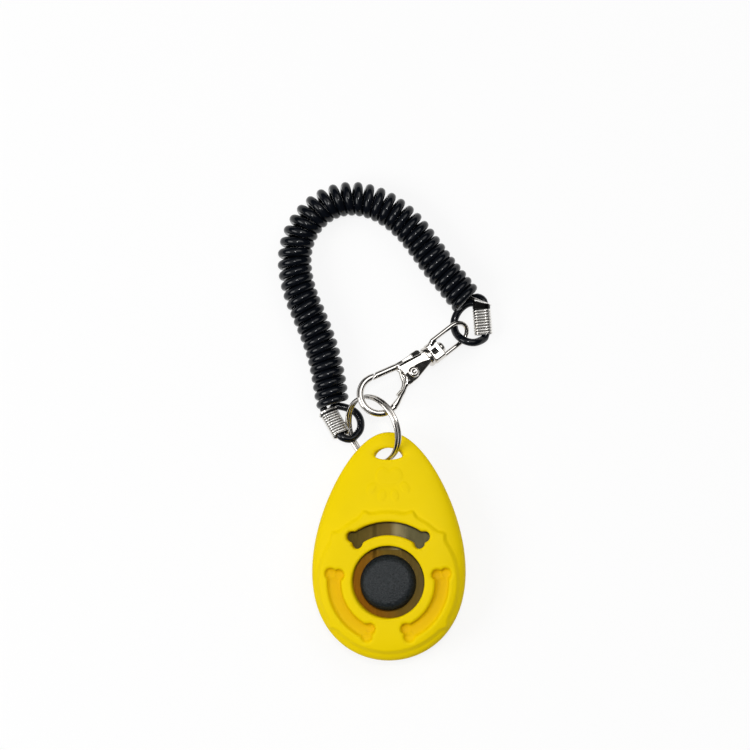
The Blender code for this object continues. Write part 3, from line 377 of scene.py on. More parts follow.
def isosurface(field, low, high, step):
    """Closed quad mesh where a field is zero; the field is negative inside."""
    axes = [np.arange(a, b + step, step) for a, b in zip(low, high)]
    shape = [len(axis) for axis in axes]
    value = np.broadcast_to(field(*np.meshgrid(*axes, indexing="ij", sparse=True)), shape)
    inside = value < 0.0
    corners = [np.array((i, j, k)) for i in (0, 1) for j in (0, 1) for k in (0, 1)]
    filled = np.zeros([n - 1 for n in shape], np.int8)
    for i, j, k in corners:
        filled += inside[i:shape[0] - 1 + i, j:shape[1] - 1 + j, k:shape[2] - 1 + k]
    active = (filled > 0) & (filled < 8)
    cells = np.argwhere(active)
    index = np.full(active.shape, -1, np.int64)
    index[active] = np.arange(len(cells))
    total = np.zeros((len(cells), 3))
    hits = np.zeros((len(cells), 1))
    for a in corners:
        for b in corners:
            if (b - a).min() < 0 or (b - a).sum() != 1:
                continue
            first = value[tuple((cells + a).T)]
            second = value[tuple((cells + b).T)]
            crossed = (first < 0.0) != (second < 0.0)
            share = np.where(crossed, first / np.where(crossed, first - second, 1.0), 0.0)
            total += np.where(crossed[:, None], cells + a + share[:, None] * (b - a), 0.0)
            hits[:, 0] += crossed
    points = np.array([axis[0] for axis in axes]) + step * total / hits
    quads = []
    for d in range(3):
        u, v = (d + 1) % 3, (d + 2) % 3
        ahead = np.roll(inside, -1, axis=d)
        changed = inside != ahead
        changed[tuple(slice(-1, None) if k == d else slice(None) for k in range(3))] = False
        nodes = np.argwhere(changed)
        around = []
        for du, dv in ((0, 0), (-1, 0), (-1, -1), (0, -1)):
            cell = nodes.copy()
            cell[:, u] += du
            cell[:, v] += dv
            around.append(index[tuple(cell.T)])
        faces = np.stack(around, axis=1)
        leaving = inside[tuple(nodes.T)]
        quads.append(np.where(leaving[:, None], faces, faces[:, ::-1]))
    return settle(field, points, step), np.concatenate(quads)


def settle(field, points, step):
    """Move points onto the field's surface."""
    reach = 0.05 * step
    for _ in range(4):
        here = field(*points.T)
        slope = np.empty_like(points)
        for k in range(3):
            shift = np.zeros(3)
            shift[k] = reach
            slope[:, k] = (field(*(points + shift).T) - field(*(points - shift).T)) / (2.0 * reach)
        size = np.maximum((slope ** 2).sum(axis=1), 0.05)
        move = -slope * (here / size)[:, None]
        length = np.linalg.norm(move, axis=1, keepdims=True)
        points = points + move * np.minimum(1.0, 0.35 * step / np.maximum(length, 1e-9))
    return points


def egg_share(x, y, egg):
    """How far out a point is: 0 in the middle of an egg outline and 1 on it."""
    half_width, taper, half_length, middle = egg
    along = (y - middle) / half_length
    share = np.hypot(along, x / half_width) + 1e-6
    for _ in range(12):
        side = half_width - taper * np.clip(along / share, -1.0, 1.0)
        share = np.hypot(along, x / side) + 1e-6
    return share


def lid(x, y, up, height, rounding):
    """Field of a lid over the case's outline, with a rounded edge; up is the height above its foot."""
    wide, tall = rounding
    step = 0.02

    def out(dx, dy):
        return egg_share(x + dx, y + dy, CASE_EGG) ** wide

    across = (out(step, 0.0) - out(-step, 0.0)) / (2.0 * step)
    along = (out(0.0, step) - out(0.0, -step)) / (2.0 * step)
    share = np.maximum(up, 0.0) / height
    steep = tall * share ** (tall - 1.0) / height
    return (out(0.0, 0.0) + share ** tall - 1.0) / np.sqrt(across ** 2 + along ** 2 + steep ** 2 + 0.001)


def body_to_tab(y, sizes, span):
    """A size that changes smoothly from the case's body to its tab."""
    body, tab = sizes
    return tab + (body - tab) * smooth((span[1] - y) / (span[1] - span[0]))


def front_height(y):
    return body_to_tab(y, FRONT_HEIGHTS, FRONT_FALL_Y)


def back_depth(y):
    return body_to_tab(y, BACK_DEPTHS, BACK_RISE_Y)


def back_z(y):
    return np.maximum(0.0, PARTING_Z - back_depth(y))


def heading_of(x, y):
    return np.degrees(np.arctan2(y, x)) % 360.0


def platform_edge(x, y):
    angle = heading_of(x, y)
    edge = PLATFORM_RADIUS
    for bump in BUMP_ANGLES:
        edge = edge + BUMP_HEIGHT * np.exp(-((angle - bump) / BUMP_SPREAD) ** 2)
    return edge


def bone(x, y, middle):
    """Field of a bone bent round the button, over the plane."""
    turn = (heading_of(x, y) - middle + 180.0) % 360.0 - 180.0
    radius = np.hypot(x, y)
    half = (BONE_RADII[1] - BONE_RADII[0]) / 2.0
    shank = common(np.abs(radius - sum(BONE_RADII) / 2.0) - half,
                   np.radians(np.abs(turn) - BONE_HALF_ANGLE + SHANK_SHORTER) * radius, 0.3)
    for end in (-1.0, 1.0):
        angle = radians(middle + end * BONE_HALF_ANGLE)
        for reach in KNOB_RADII:
            knob = np.hypot(x - reach * cos(angle), y - reach * sin(angle)) - KNOB_RADIUS
            shank = union(shank, knob, 0.5)
    return shank


def oval(x, y, centre, half, turned):
    c, s = cos(radians(turned)), sin(radians(turned))
    dx, dy = x - centre[0], y - centre[1]
    return (np.hypot((dx * c + dy * s) / half[0], (dy * c - dx * s) / half[1]) - 1.0) * min(half)


def paw(x, y):
    """Height of a plain paw print, its toes towards the button."""
    shape = oval(x, y, *PAW_PAD, 0.0)
    for side in (-1.0, 1.0):
        centre = (PAW_PAD[0][0] + side * PAW_LOBE_OFFSET, PAW_LOBE_Y)
        shape = union(shape, oval(x, y, centre, PAW_LOBE_HALF, side * PAW_LOBE_SPLAY), 1.0)
    for cx, cy, turned in PAW_TOES:
        shape = np.minimum(shape, oval(x, y, (cx, cy), PAW_TOE_HALF, turned))
    return PAW_RISE * smooth(0.5 - shape / PAW_SLOPE)


def tab_hole(x, y, z):
    """Field of the D-shaped hole; its lower wall slants and its bar is rounded off."""
    low = TAB_LOW - TAB_SLANT * (TAB_FACE_Z - z)
    front, front_run = TAB_FRONT_FLARE
    back, back_run = TAB_BACK_FLARE
    above = np.maximum(z - PARTING_Z - front, 0.0) / front_run
    below = np.maximum(PARTING_Z - back - z, 0.0) / back_run
    flare = TAB_FLARE * (above + below)
    wide = TAB_HALF_WIDTH + flare / 4.0
    middle = low + TAB_CORNER
    above_share = np.maximum(y - middle, 0.0) / (TAB_HIGH + flare - middle)
    below_share = np.maximum(middle - y, 0.0) / TAB_CORNER
    side = np.abs(x) / wide
    arch = np.hypot(side, np.where(y > middle, above_share, below_share))
    return (arch - 1.0) * TAB_CORNER * 0.7


def front_raised(x, y):
    """How far the platform and the paw stand above the plain dome."""
    share = (platform_edge(x, y) - np.hypot(x, y)) / PLATFORM_SLOPE + 0.5
    return PLATFORM_RISE * smooth(share) + paw(x, y)


def front_top(x, y):
    """Height of the front as if it had no openings."""
    wide, tall = FRONT_ROUNDING
    dome = np.maximum(1.0 - egg_share(x, y, CASE_EGG) ** wide, 0.0) ** (1.0 / tall)
    return PARTING_Z + TOUCH / 2.0 + front_raised(x, y) + front_height(y) * dome


def front_cover(x, y, z):
    foot = PARTING_Z + TOUCH / 2.0
    height = front_height(y)
    body = lid(x, y, z - foot - front_raised(x, y), height, FRONT_ROUNDING)
    top = front_top(x, y)
    ceiling = PARTING_Z + STRAIGHT_WALL + np.maximum(height - WALL - STRAIGHT_WALL, 0.1)
    cavity = common((egg_share(x, y, CAVITY_EGG) - 1.0) * CAVITY_EGG[0], z - ceiling, 0.8)
    body = cut(body, cavity, 0.2)
    sunk = LEAN_Z - z
    hole = np.hypot(x - HOLE_LEAN[0] * sunk, y - HOLE_LEAN[1] * sunk) - BUTTON_HOLE_RADIUS
    body = cut(body, hole, HOLE_EDGE)
    window = bone(x - WINDOW_LEAN[0] * sunk, y - WINDOW_LEAN[1] * sunk, BONE_ANGLES[0])
    body = cut(body, window, WINDOW_EDGE)
    sole = np.maximum(top - RECESS_DEPTH, ceiling + RECESS_FLOOR)
    for angle in BONE_ANGLES[1:]:
        body = cut(body, common(bone(x, y, angle), sole - z, 0.9), RECESS_EDGE)
    body = cut(body, tab_hole(x, y, z), 0.7)
    return common(body, foot - z, SEAM_EDGE)


def rear_cover(x, y, z):
    top = PARTING_Z - TOUCH / 2.0
    body = lid(x, y, top - z, back_depth(y), BACK_ROUNDING)
    body = common(body, -z, 0.5)
    inner = (CAVITY_EGG[0] - LIP_GAP, CAVITY_EGG[1] * (1.0 - LIP_GAP / CAVITY_EGG[0]),
             CAVITY_EGG[2] - LIP_GAP, CAVITY_EGG[3])
    floor = INNER_FLOOR_Z + back_z(y)
    cavity = common((egg_share(x, y, inner) - 1.0) * inner[0], floor - z, 2.5)
    body = cut(body, cavity, 0.2)
    for px, py in SCREW_PLACES:
        away = np.hypot(x - px, y - py)
        seat = float(back_z(py)) + SCREW_HEAD_Z + SCREW_HEAD_HEIGHT + SCREW_SEAT_GAP
        boss = np.abs(z - seat - SCREW_BOSS_HALF) - SCREW_BOSS_HALF
        body = union(body, common(away - SCREW_BOSS_RADIUS, boss, 0.3), 0.4)
        body = cut(body, common(away - SCREW_HEAD_RADIUS - TOUCH, z - seat, 0.1), 0.3)
    body = cut(body, tab_hole(x, y, z), 1.0)
    return common(body, z - top, SEAM_EDGE)


def reed_blade(x, y, z):
    """Field of the steel blade: round under the button, wide under the window, narrow at its pegs."""
    widening = smooth(y / REED_SHOULDER_Y)
    narrowing = smooth((y - REED_TAIL_Y[0]) / (REED_TAIL_Y[1] - REED_TAIL_Y[0]))
    wide = REED_RADIUS + (REED_HALF_WIDTH - REED_RADIUS) * widening
    wide = wide - (REED_HALF_WIDTH - REED_TAIL_HALF_WIDTH) * narrowing
    round_end = np.hypot(x, np.minimum(y, 0.0)) - REED_RADIUS
    outline = np.where(y > 0.0, np.abs(x) - wide, round_end)
    outline = common(outline, y - REED_TAIL_Y[1], 0.4)
    for px, py, radius in REED_HOLES:
        outline = np.maximum(outline, radius - np.hypot(x - px, y - py))
    bead = smooth((BEAD_HALF_WIDTH + BEAD_FLANK - np.abs(x)) / BEAD_FLANK)
    for past_end in (y - BEAD_Y[0], BEAD_Y[1] - y):
        bead = bead * smooth(past_end / BEAD_RUN_OUT + 0.5)
    return common(outline, np.abs(z - REED_Z - BEAD_RISE * bead) - REED_THICKNESS / 2.0, 0.12)


def polyline(x, y, points):
    """Distance over the plane to a line through points."""
    nearest = None
    for (ax, ay), (bx, by) in zip(points, points[1:]):
        share = ((x - ax) * (bx - ax) + (y - ay) * (by - ay)) / ((bx - ax) ** 2 + (by - ay) ** 2)
        share = np.clip(share, 0.0, 1.0)
        distance = np.hypot(x - ax - share * (bx - ax), y - ay - share * (by - ay))
        nearest = distance if nearest is None else np.minimum(nearest, distance)
    return nearest


def polygon(x, y, corners):
    """Signed distance over the plane to a closed outline."""
    distance = polyline(x, y, list(corners) + [corners[0]])
    inside = np.zeros(np.broadcast(x, y).shape, bool)
    for (ax, ay), (bx, by) in zip(corners, corners[1:] + corners[:1]):
        level = by - ay if by != ay else 1e-9
        inside = inside ^ (((ay > y) != (by > y)) & (x < (bx - ax) * (y - ay) / level + ax))
    return np.where(inside, -distance, distance)


def arc(radius, first, last, count):
    """Points on a circle about the origin, between two angles in degrees."""
    turns = np.radians(np.linspace(first, last, count))
    return [(radius * cos(turn), radius * sin(turn)) for turn in turns]


def drum(along, across, low, high, radius, edge):
    """Field of a short cylinder; along its axis and across it."""
    return common(across - radius, np.abs(along - (low + high) / 2.0) - (high - low) / 2.0, edge)


def past_seam(x, y):
    """How far a point lies past the seam where the gate meets the claw's tip."""
    return (x - SEAM_POINT[0]) * SEAM_NORMAL[0] + (y - SEAM_POINT[1]) * SEAM_NORMAL[1]


def pivot_bore(x, y):
    return np.hypot(x - PIVOT[0], y - PIVOT[1]) - PIVOT_BORE


def hook_casting(x, y, z):
    """Field of the hook: round claw, slim spine, creased plate with the gate's slot, neck and collar."""
    first = CLAW_TIP_ANGLE - CLAW_OVERLAP
    middle = 0.5 * (CLAW_TIP_ANGLE + CLAW_END_ANGLE)
    tip = np.hypot(polyline(x, y, arc(CLAW_RADIUS, first, middle, CLAW_STEPS)), z) - CLAW_ROD
    tip = common(tip, past_seam(x, y) + SEAM_GAP / 2.0, 0.25)
    bend = arc(CLAW_RADIUS, middle, CLAW_END_ANGLE, CLAW_STEPS) + CLAW_ROOT
    taper = CLAW_TAPER * smooth((x - CLAW_TAPER_START) / CLAW_TAPER_RUN)
    claw = np.minimum(tip, np.hypot(polyline(x, y, bend), z) - CLAW_ROD + taper)
    rise = SPINE_HALF - SPINE_SLOPE * np.maximum(SPINE_EDGE - polyline(x, y, SPINE_OUTER), 0.0)
    spine = common(polygon(x, y, SPINE_OUTER + SPINE_INNER), np.abs(z) - rise, 0.3)
    crease = CREASE_TOP[1] - CREASE_CURVE * (x - CREASE_TOP[0]) ** 2
    thick = PLATE_HALF - FACET_SLOPE * np.maximum(crease - y, 0.0)
    plate = common(polygon(x, y, PLATE_OUTLINE), np.abs(z) - thick, 0.35)
    line = polyline(x, y, LEVER_LINE) - LEVER_LINE_WIDTH / 2.0
    plate = cut(plate, common(line, LEVER_LINE_FLOOR - np.abs(z), 0.1), 0.1)
    body = union(union(claw, spine, 0.4), plate, 0.4)
    across = np.hypot(y, z)
    body = union(body, drum(x, across, *NECK_DRUM), 0.3)
    body = union(body, drum(x, across, *COLLAR_DRUM), 0.1)
    body = cut(body, common(polygon(x, y, SLOT_OUTLINE), np.abs(z) - SLOT_HALF, 0.2), 0.2)
    body = cut(body, pivot_bore(x, y), 0.15)
    return cut(body, common(across - SWIVEL_BORE, SWIVEL_BORE_ENDS[0] - x, 0.1), 0.1)


def gate_casting(x, y, z):
    """Field of the gate: a round bar from the claw's tip, and a flat lever with a thumb end and a hub."""
    back = [a - GATE_OVERLAP * (b - a) for a, b in zip(SEAM_POINT, GATE_FAR)]
    bar = np.hypot(polyline(x, y, [back, GATE_FAR]), z) - CLAW_ROD
    bar = common(bar, SEAM_GAP / 2.0 - past_seam(x, y), 0.25)
    hub = [(PIVOT[0] + dx, PIVOT[1] + dy) for dx, dy in arc(GATE_HUB_RADIUS, *GATE_HUB_ANGLES, 9)]
    lever = polygon(x, y, GATE_TOP + hub + GATE_HEEL)
    past_edge = y - THUMB_EDGE[1] + THUMB_EDGE_SLANT * (x - THUMB_EDGE[0])
    thumb = THUMB_SLOPE * np.maximum(past_edge, 0.0) * smooth((x - THUMB_START) / THUMB_RUN)
    plate = common(common(lever, z - GATE_HALF + thumb, 0.2), -z - GATE_HALF, 0.25)
    return cut(union(bar, plate, 0.4), pivot_bore(x, y), 0.1)


def eye_rolled(y, z):
    """Across the eye's flat faces and up from them; they are rolled about its pin."""
    turn = radians(EYE_ROLL)
    return y * cos(turn) - z * sin(turn), y * sin(turn) + z * cos(turn)


def eye_pocket(x, aside):
    return np.maximum(np.abs(x - EYE_POCKET[0]) - EYE_POCKET[1], np.abs(aside) - EYE_POCKET[2])


def eye_casting(x, y, z):
    """Field of the swivel eye: a flattened drum with a pocket in one face, and its bail."""
    across = np.hypot(y, z)
    base = drum(x, across, *EYE_DRUM)
    aside, above = eye_rolled(y, z)
    base = common(base, np.abs(above) - EYE_DRUM_HALF, 0.3)
    end = []
    for k in range(17):
        turn = pi * k / 16.0
        end.append((BAIL_END[0] + BAIL_END_HALF[0] * sin(turn), BAIL_END[1] + BAIL_END_HALF[1] * cos(turn)))
    bail = np.hypot(polyline(x, y, BAIL_LEGS[0] + end + BAIL_LEGS[1]), z) - BAIL_ROD
    body = union(base, bail, 0.5)
    body = cut(body, common(eye_pocket(x, aside), EYE_POCKET_FLOOR - above, 0.1), 0.15)
    return cut(body, common(across - SWIVEL_BORE, x - SWIVEL_BORE_ENDS[1], 0.1), 0.1)


def hook_frame():
    turn = Matrix.Rotation(radians(HOOK_HEADING), 4, "Z") @ Matrix.Rotation(radians(HOOK_PITCH), 4, "Y")
    return Matrix.Translation(HOOK_CENTRE) @ turn


def ring_frame():
    z = RING_NORMAL
    x = (Vector((1.0, 0.0, 0.0)) - z * z.x).normalized()
    return Matrix.Translation(RING_CENTRE) @ Matrix((x, z.cross(x), z)).transposed().to_4x4()


def placed(points, matrix):
    points = np.asarray(points, float)
    m = np.array(matrix)
    return points @ m[:3, :3].T + m[:3, 3]


def put(name, data):
    thing = bpy.data.objects.new(name, data)
    bpy.context.scene.collection.objects.link(thing)
    return thing


def add_piece(name, points, faces, material, body, nodes, sharp=None):
    """A smooth mesh piece in place of CAD nodes, riding on a body; points are in millimetres."""
    mesh = bpy.data.meshes.new(name)
    mesh.from_pydata((np.asarray(points) * MM).tolist(), [], np.asarray(faces, dtype=object).tolist())
    mesh.shade_smooth()
    if sharp:
        mesh.set_sharp_from_angle(angle=radians(sharp))
    mesh.materials.append(material)
    piece = put(name, mesh)
    if body:
        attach(piece, body)
    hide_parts(*nodes)
    return piece


def mark(piece, name, values):
    """Store one number for each point of a piece, for its material to read."""
    attribute = piece.data.attributes.new(name, "FLOAT", "POINT")
    attribute.data.foreach_set("value", np.asarray(values, np.float32))


def skin(loops, start=None, end=None):
    """Points and faces of a closed skin over loops of equal length, closed by poles or by flat ends."""
    count = len(loops[0])
    points = [tuple(p) for loop in loops for p in loop]
    faces = []
    for r in range(len(loops) - 1):
        for i in range(count):
            j = (i + 1) % count
            faces.append((r * count + i, r * count + j, (r + 1) * count + j, (r + 1) * count + i))
    for first, pole in ((0, start), ((len(loops) - 1) * count, end)):
        row = [first + i for i in range(count)]
        if pole is None:
            faces.append(tuple(reversed(row)) if first == 0 else tuple(row))
            continue
        tip = len(points)
        points.append(tuple(pole))
        for i in range(count):
            a, b = row[i], row[(i + 1) % count]
            faces.append((b, a, tip) if first == 0 else (a, b, tip))
    return points, faces


def lathe(profile, sides):
    """Turn (radius, height) points about +Z, from a pole to a pole."""
    turns = [2.0 * pi * i / sides for i in range(sides)]
    loops = [[(r * cos(a), r * sin(a), z) for a in turns] for r, z in profile[1:-1]]
    return skin(loops, (0.0, 0.0, profile[0][1]), (0.0, 0.0, profile[-1][1]))


def walk(line):
    """Distance walked along a line, at each of its points."""
    return np.concatenate([[0.0], np.linalg.norm(np.diff(line, axis=0), axis=1).cumsum()])


def sampled(marks, walked, values):
    """Points or directions along a line, at marks of the distance walked."""
    return np.stack([np.interp(marks, walked, values[:, k]) for k in range(3)], axis=1)


def headings(line):
    heading = np.gradient(line, axis=0)
    return heading / np.linalg.norm(heading, axis=1, keepdims=True)


def through(points, step):
    """Evenly spaced points on a smooth curve through the given ones."""
    route = np.array([tuple(p) for p in points], float)
    ends = np.vstack([2.0 * route[0] - route[1], route, 2.0 * route[-1] - route[-2]])
    t = np.linspace(0.0, 1.0, 24, endpoint=False)[:, None]
    fine = []
    for a, b, c, d in zip(ends, ends[1:], ends[2:], ends[3:]):
        bend = (2.0 * a - 5.0 * b + 4.0 * c - d) * t ** 2 + (3.0 * b - a - 3.0 * c + d) * t ** 3
        fine.append(0.5 * (2.0 * b + (c - a) * t + bend))
    fine = np.vstack(fine + [route[-1:]])
    walked = walk(fine)
    marks = np.linspace(0.0, walked[-1], max(2, round(walked[-1] / step)) + 1)
    return sampled(marks, walked, fine)


def tube(route, radii, sides):
    """Closed round tube along a route, with domed ends; a radius for each point, or one for all."""
    route = np.asarray(route, float)
    radii = np.broadcast_to(radii, len(route))
    heading = headings(route)
    side = np.cross(heading[0], (0.3, 0.2, 1.0))
    turns = 2.0 * pi * np.arange(sides) / sides
    loops = []
    for i, (point, along, radius) in enumerate(zip(route, heading, radii)):
        side = side - along * side.dot(along)
        side = side / np.linalg.norm(side)
        circle = np.cos(turns)[:, None] * side + np.sin(turns)[:, None] * np.cross(along, side)
        before = [-lean for lean in reversed(DOME_LEANS)] if i == 0 else []
        after = DOME_LEANS if i == len(route) - 1 else []
        for lean in (*before, 0.0, *after):
            a = radians(lean)
            loops.append(point + along * radius * sin(a) + radius * cos(a) * circle)
    return skin(loops, route[0] - heading[0] * radii[0], route[-1] + heading[-1] * radii[-1])


def ferrule_axes(ends, route):
    """A sleeve's own axis, the way to its loop's strand, and the way across both."""
    foot, head = ends
    axis = (head - foot).normalized()
    wide = Vector(route[len(route) // 2]) - foot
    wide = (wide - axis * wide.dot(axis)).normalized()
    return axis, wide, axis.cross(wide)


def coil_line():
    """The moulded coil as a helix round its route; the turns open out round the bend."""
    stations = []
    for i, (x, y) in enumerate(COIL_ROUTE):
        bow = sin(pi * i / (len(COIL_ROUTE) - 1))
        stations.append(Vector((x + COIL_BOW[0] * bow, y + COIL_BOW[1] * bow, COIL_Z)))
    stations[0] += (stations[0] - stations[1]).normalized() * COIL_OVERRUN[0]
    stations[-1] += (stations[-1] - stations[-2]).normalized() * COIL_OVERRUN[1]
    route = through(stations, COIL_STEP)
    walked = walk(route)
    outward = np.cross(headings(route), (0.0, 0.0, -1.0))
    pitch = np.interp(walked / walked[-1], *zip(*COIL_PITCH))
    turns = np.concatenate([[0.0], (np.diff(walked) / pitch[1:]).cumsum()])
    part = (COIL_STOP - COIL_START) / 360.0
    turns *= (round(turns[-1] - part) + part) / turns[-1]
    phase = np.linspace(0.0, turns[-1], round(POINTS_PER_TURN * turns[-1]) + 1)
    along = np.interp(phase, turns, walked)
    angle = 2.0 * pi * phase + radians(COIL_START)
    out = sampled(along, walked, outward)
    out /= np.linalg.norm(out, axis=1, keepdims=True)
    up = np.array((0.0, 0.0, 1.0))
    around = np.cos(angle)[:, None] * out + np.sin(angle)[:, None] * up
    return sampled(along, walked, route) + COIL_RADIUS * around


def cord_line():
    """The whole cord: from inside one sleeve, round its loop, along the coil and into the other sleeve."""
    helix = coil_line()
    ends = []
    for sleeve, route, lead in ((RING_FERRULE_ENDS, RING_LOOP_ROUTE, ()),
                                (HOOK_FERRULE_ENDS, HOOK_LOOP_ROUTE, HOOK_LEAD)):
        axis, wide, _ = ferrule_axes(sleeve, route)
        foot, head = sleeve
        stopped = [foot + wide * STRAND_OFFSET + axis * k for k in STOPPED_STRAND]
        entry = [head - wide * STRAND_OFFSET * near + axis * k for near, k in PASSING_ENTRY]
        passing = [foot - wide * STRAND_OFFSET + axis * k for k in PASSING_STRAND]
        ends.append([tuple(p) for p in (*stopped, *route, *entry, *passing, *lead)])
    line = ends[0] + [tuple(p) for p in helix] + ends[1][::-1]
    return through(line, CORD_STEP)


def cord_radii(line):
    """Half the cord's thickness along its line; the coil's turns are a little fuller than the loops."""
    walked = walk(line)
    from_end = np.minimum(walked, walked[-1] - walked)
    return CORD_RADII[0] + (CORD_RADII[1] - CORD_RADII[0]) * smooth((from_end - CORD_END) / CORD_END_RUN)


def make_ferrule(name, node, ends, route, first_turn, material):
    """Crimp sleeve wound like a tight spring, open at both ends; its first turn may stand off, askew."""
    axis, wide, deep = ferrule_axes(ends, route)
    foot, head = ends
    length = (head - foot).length
    straight = (FERRULE_WIDTH - FERRULE_DEPTH) / 2.0
    outer = FERRULE_DEPTH / 2.0
    rows = 10 * FERRULE_RIBS
    reach, skew = first_turn
    # Each profile point's last number is its painted shade: inside the lips, on the neck behind the first
    # turn and between the ribs
    profile = [(LIP_SINK, outer - LIP_WALL, 1.0)]
    for k in range(9):
        turn = pi * k / 8.0
        along = -reach - LIP_ROD * (1.0 + sin(turn))
        profile.append((along, outer + LIP_FLARE - LIP_ROD * (1.0 + cos(turn)), 0.0))
    profile += [(-reach - LIP_ROD * 0.3, outer - LIP_WALL / 2.0, 1.0), (-0.2, outer - LIP_WALL / 2.0, 1.0)]
    for i in range(rows + 1):
        share = 2.0 * (FERRULE_RIBS * i / rows % 1.0) - 1.0
        groove = 1.0 - sqrt(max(0.0, 1.0 - share * share))
        profile.append((length * i / rows, outer - RIB_DEPTH * groove, groove))
    profile += [(length + 0.1, outer, 0.0), (length + 0.15, outer - LIP_WALL, 0.0),
                (length - LIP_SINK, outer - LIP_WALL, 1.0)]
    loops = []
    for along, radius, _ in profile:
        place = foot + axis * along
        loop = []
        for k in range(FERRULE_SIDES):
            turn = 2.0 * pi * (k + 0.5) / FERRULE_SIDES
            across = radius * cos(turn) + (straight if cos(turn) > 0.0 else -straight)
            askew = skew * across * min(0.0, along) / reach
            loop.append(place + wide * across + deep * radius * sin(turn) + axis * askew)
        loops.append(loop)
    points, faces = skin(loops)
    piece = add_piece(name, points, faces, material, "hook", (node,))
    mark(piece, "groove", [groove for _, _, groove in profile for _ in range(FERRULE_SIDES)])
    return piece


def make_ring(material):
    """Two turns of wire, one on the other; the wire crosses over between its two ends."""
    first = RING_SPLIT_ANGLE + RING_CROSSING
    last = RING_SPLIT_ANGLE + 720.0 - RING_CROSSING
    middle = RING_SPLIT_ANGLE + 360.0
    route = []
    for i in range(RING_STEPS + 1):
        angle = first + (last - first) * i / RING_STEPS
        lift = RING_PITCH * (float(smooth((angle - middle + RING_CROSSING) / (2.0 * RING_CROSSING))) - 0.5)
        route.append((RING_RADIUS * cos(radians(angle)), RING_RADIUS * sin(radians(angle)), lift))
    points, faces = tube(placed(route, ring_frame()), RING_WIRE / 2.0, RING_SIDES)
    add_piece("ring_wire", points, faces, material, "ring", ("split_ring",))


def make_button(material):
    """Crowned push button with a hollow skirt, and a stem with a flange below the reed."""
    profile = [(0.0, BUTTON_TOP_Z)]
    flat = BUTTON_RADIUS - BUTTON_EDGE
    profile += [(flat * k / 6.0, BUTTON_TOP_Z - BUTTON_CROWN * (k / 6.0) ** 2) for k in range(1, 7)]
    for k in range(1, 13):
        turn = pi / 2.0 * k / 12.0
        radius = BUTTON_RADIUS - BUTTON_EDGE * (1.0 - sin(turn))
        profile.append((radius, BUTTON_TOP_Z - BUTTON_CROWN - BUTTON_EDGE * (1.0 - cos(turn))))
    inner = BUTTON_RADIUS - BUTTON_WALL
    profile += [
        (BUTTON_RADIUS, BUTTON_SIDE_Z), (BUTTON_RADIUS, BUTTON_SKIRT_Z + BUTTON_SKIRT_EDGE),
        (BUTTON_RADIUS - BUTTON_SKIRT_EDGE, BUTTON_SKIRT_Z), (inner, BUTTON_SKIRT_Z), (inner, BUTTON_ROOF_Z),
        (BUTTON_STEM[0][0], BUTTON_ROOF_Z), *BUTTON_STEM,
    ]
    points, faces = lathe(profile, BUTTON_SIDES)
    faces = [tuple(reversed(face)) for face in faces]
    add_piece("button_cap", points, faces, material, "button", ("button",), 40.0)


def make_rivet(name, node, profile, matrix, material):
    points, faces = lathe(profile, PIN_SIDES)
    add_piece(name, placed(points, matrix), faces, material, "hook", (node,), 35.0)


def make_leaf(material):
    """Bent spring strip that is held by the hook, laid out in the hook's frame; it rides on no body."""
    route = through([(x, y, 0.0) for x, y in LEAF_ROUTE], LEAF_STEP)
    turns = [2.0 * pi * k / LEAF_SIDES for k in range(LEAF_SIDES)]
    up = np.array((0.0, 0.0, LEAF_WIDTH / 2.0))
    loops = []
    for point, along in zip(route, headings(route)):
        side = np.array((-along[1], along[0], 0.0)) * LEAF_THICKNESS / 2.0
        loops.append([point + side * cos(turn) + up * sin(turn) for turn in turns])
    points, faces = skin(loops)
    hook = hook_frame()
    points = placed(points, hook)
    piece = add_piece("gate_leaf", points, faces, material, None, ("gate_spring",), 50.0)
    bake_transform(piece)


def base_material(name, colour, roughness, metallic=0.0, specular=0.5):
    material = bpy.data.materials.new(name)
    material.use_nodes = True
    tree = material.node_tree
    shader = tree.nodes["Principled BSDF"]
    shader.inputs["Base Color"].default_value = (*colour, 1.0)
    shader.inputs["Roughness"].default_value = roughness
    shader.inputs["Metallic"].default_value = metallic
    shader.inputs["Specular IOR Level"].default_value = specular
    return material, tree, shader


def noise(tree, scale, detail=3.0, stretch=None):
    """A noise in the object's own metres; the scale is in cells per metre."""
    place = tree.nodes.new("ShaderNodeTexCoord")
    texture = tree.nodes.new("ShaderNodeTexNoise")
    texture.inputs["Scale"].default_value = scale
    texture.inputs["Detail"].default_value = detail
    source = place.outputs["Object"]
    if stretch:
        mapping = tree.nodes.new("ShaderNodeMapping")
        mapping.inputs["Scale"].default_value = stretch
        tree.links.new(source, mapping.inputs["Vector"])
        source = mapping.outputs["Vector"]
    tree.links.new(source, texture.inputs["Vector"])
    return texture.outputs["Fac"]


def vary_roughness(tree, source, low, high, shader):
    """Vary the roughness between two values."""
    ranged = tree.nodes.new("ShaderNodeMapRange")
    for socket, value in zip(("From Min", "From Max", "To Min", "To Max"), (*NOISE_RANGE, low, high)):
        ranged.inputs[socket].default_value = value
    tree.links.new(source, ranged.inputs["Value"])
    tree.links.new(ranged.outputs["Result"], shader.inputs["Roughness"])


def ramp(tree, source, stops):
    """Colours along a number."""
    node = tree.nodes.new("ShaderNodeValToRGB")
    elements = node.color_ramp.elements
    while len(elements) < len(stops):
        elements.new(1.0)
    for element, (position, colour) in zip(elements, stops):
        element.position = position
        element.color = (*colour, 1.0)
    tree.links.new(source, node.inputs["Fac"])
    return node.outputs["Color"]


def tint(tree, source, first, second, shader):
    """Vary the base colour between two colours."""
    colours = ramp(tree, source, tuple(zip(NOISE_RANGE, (first, second))))
    tree.links.new(colours, shader.inputs["Base Color"])


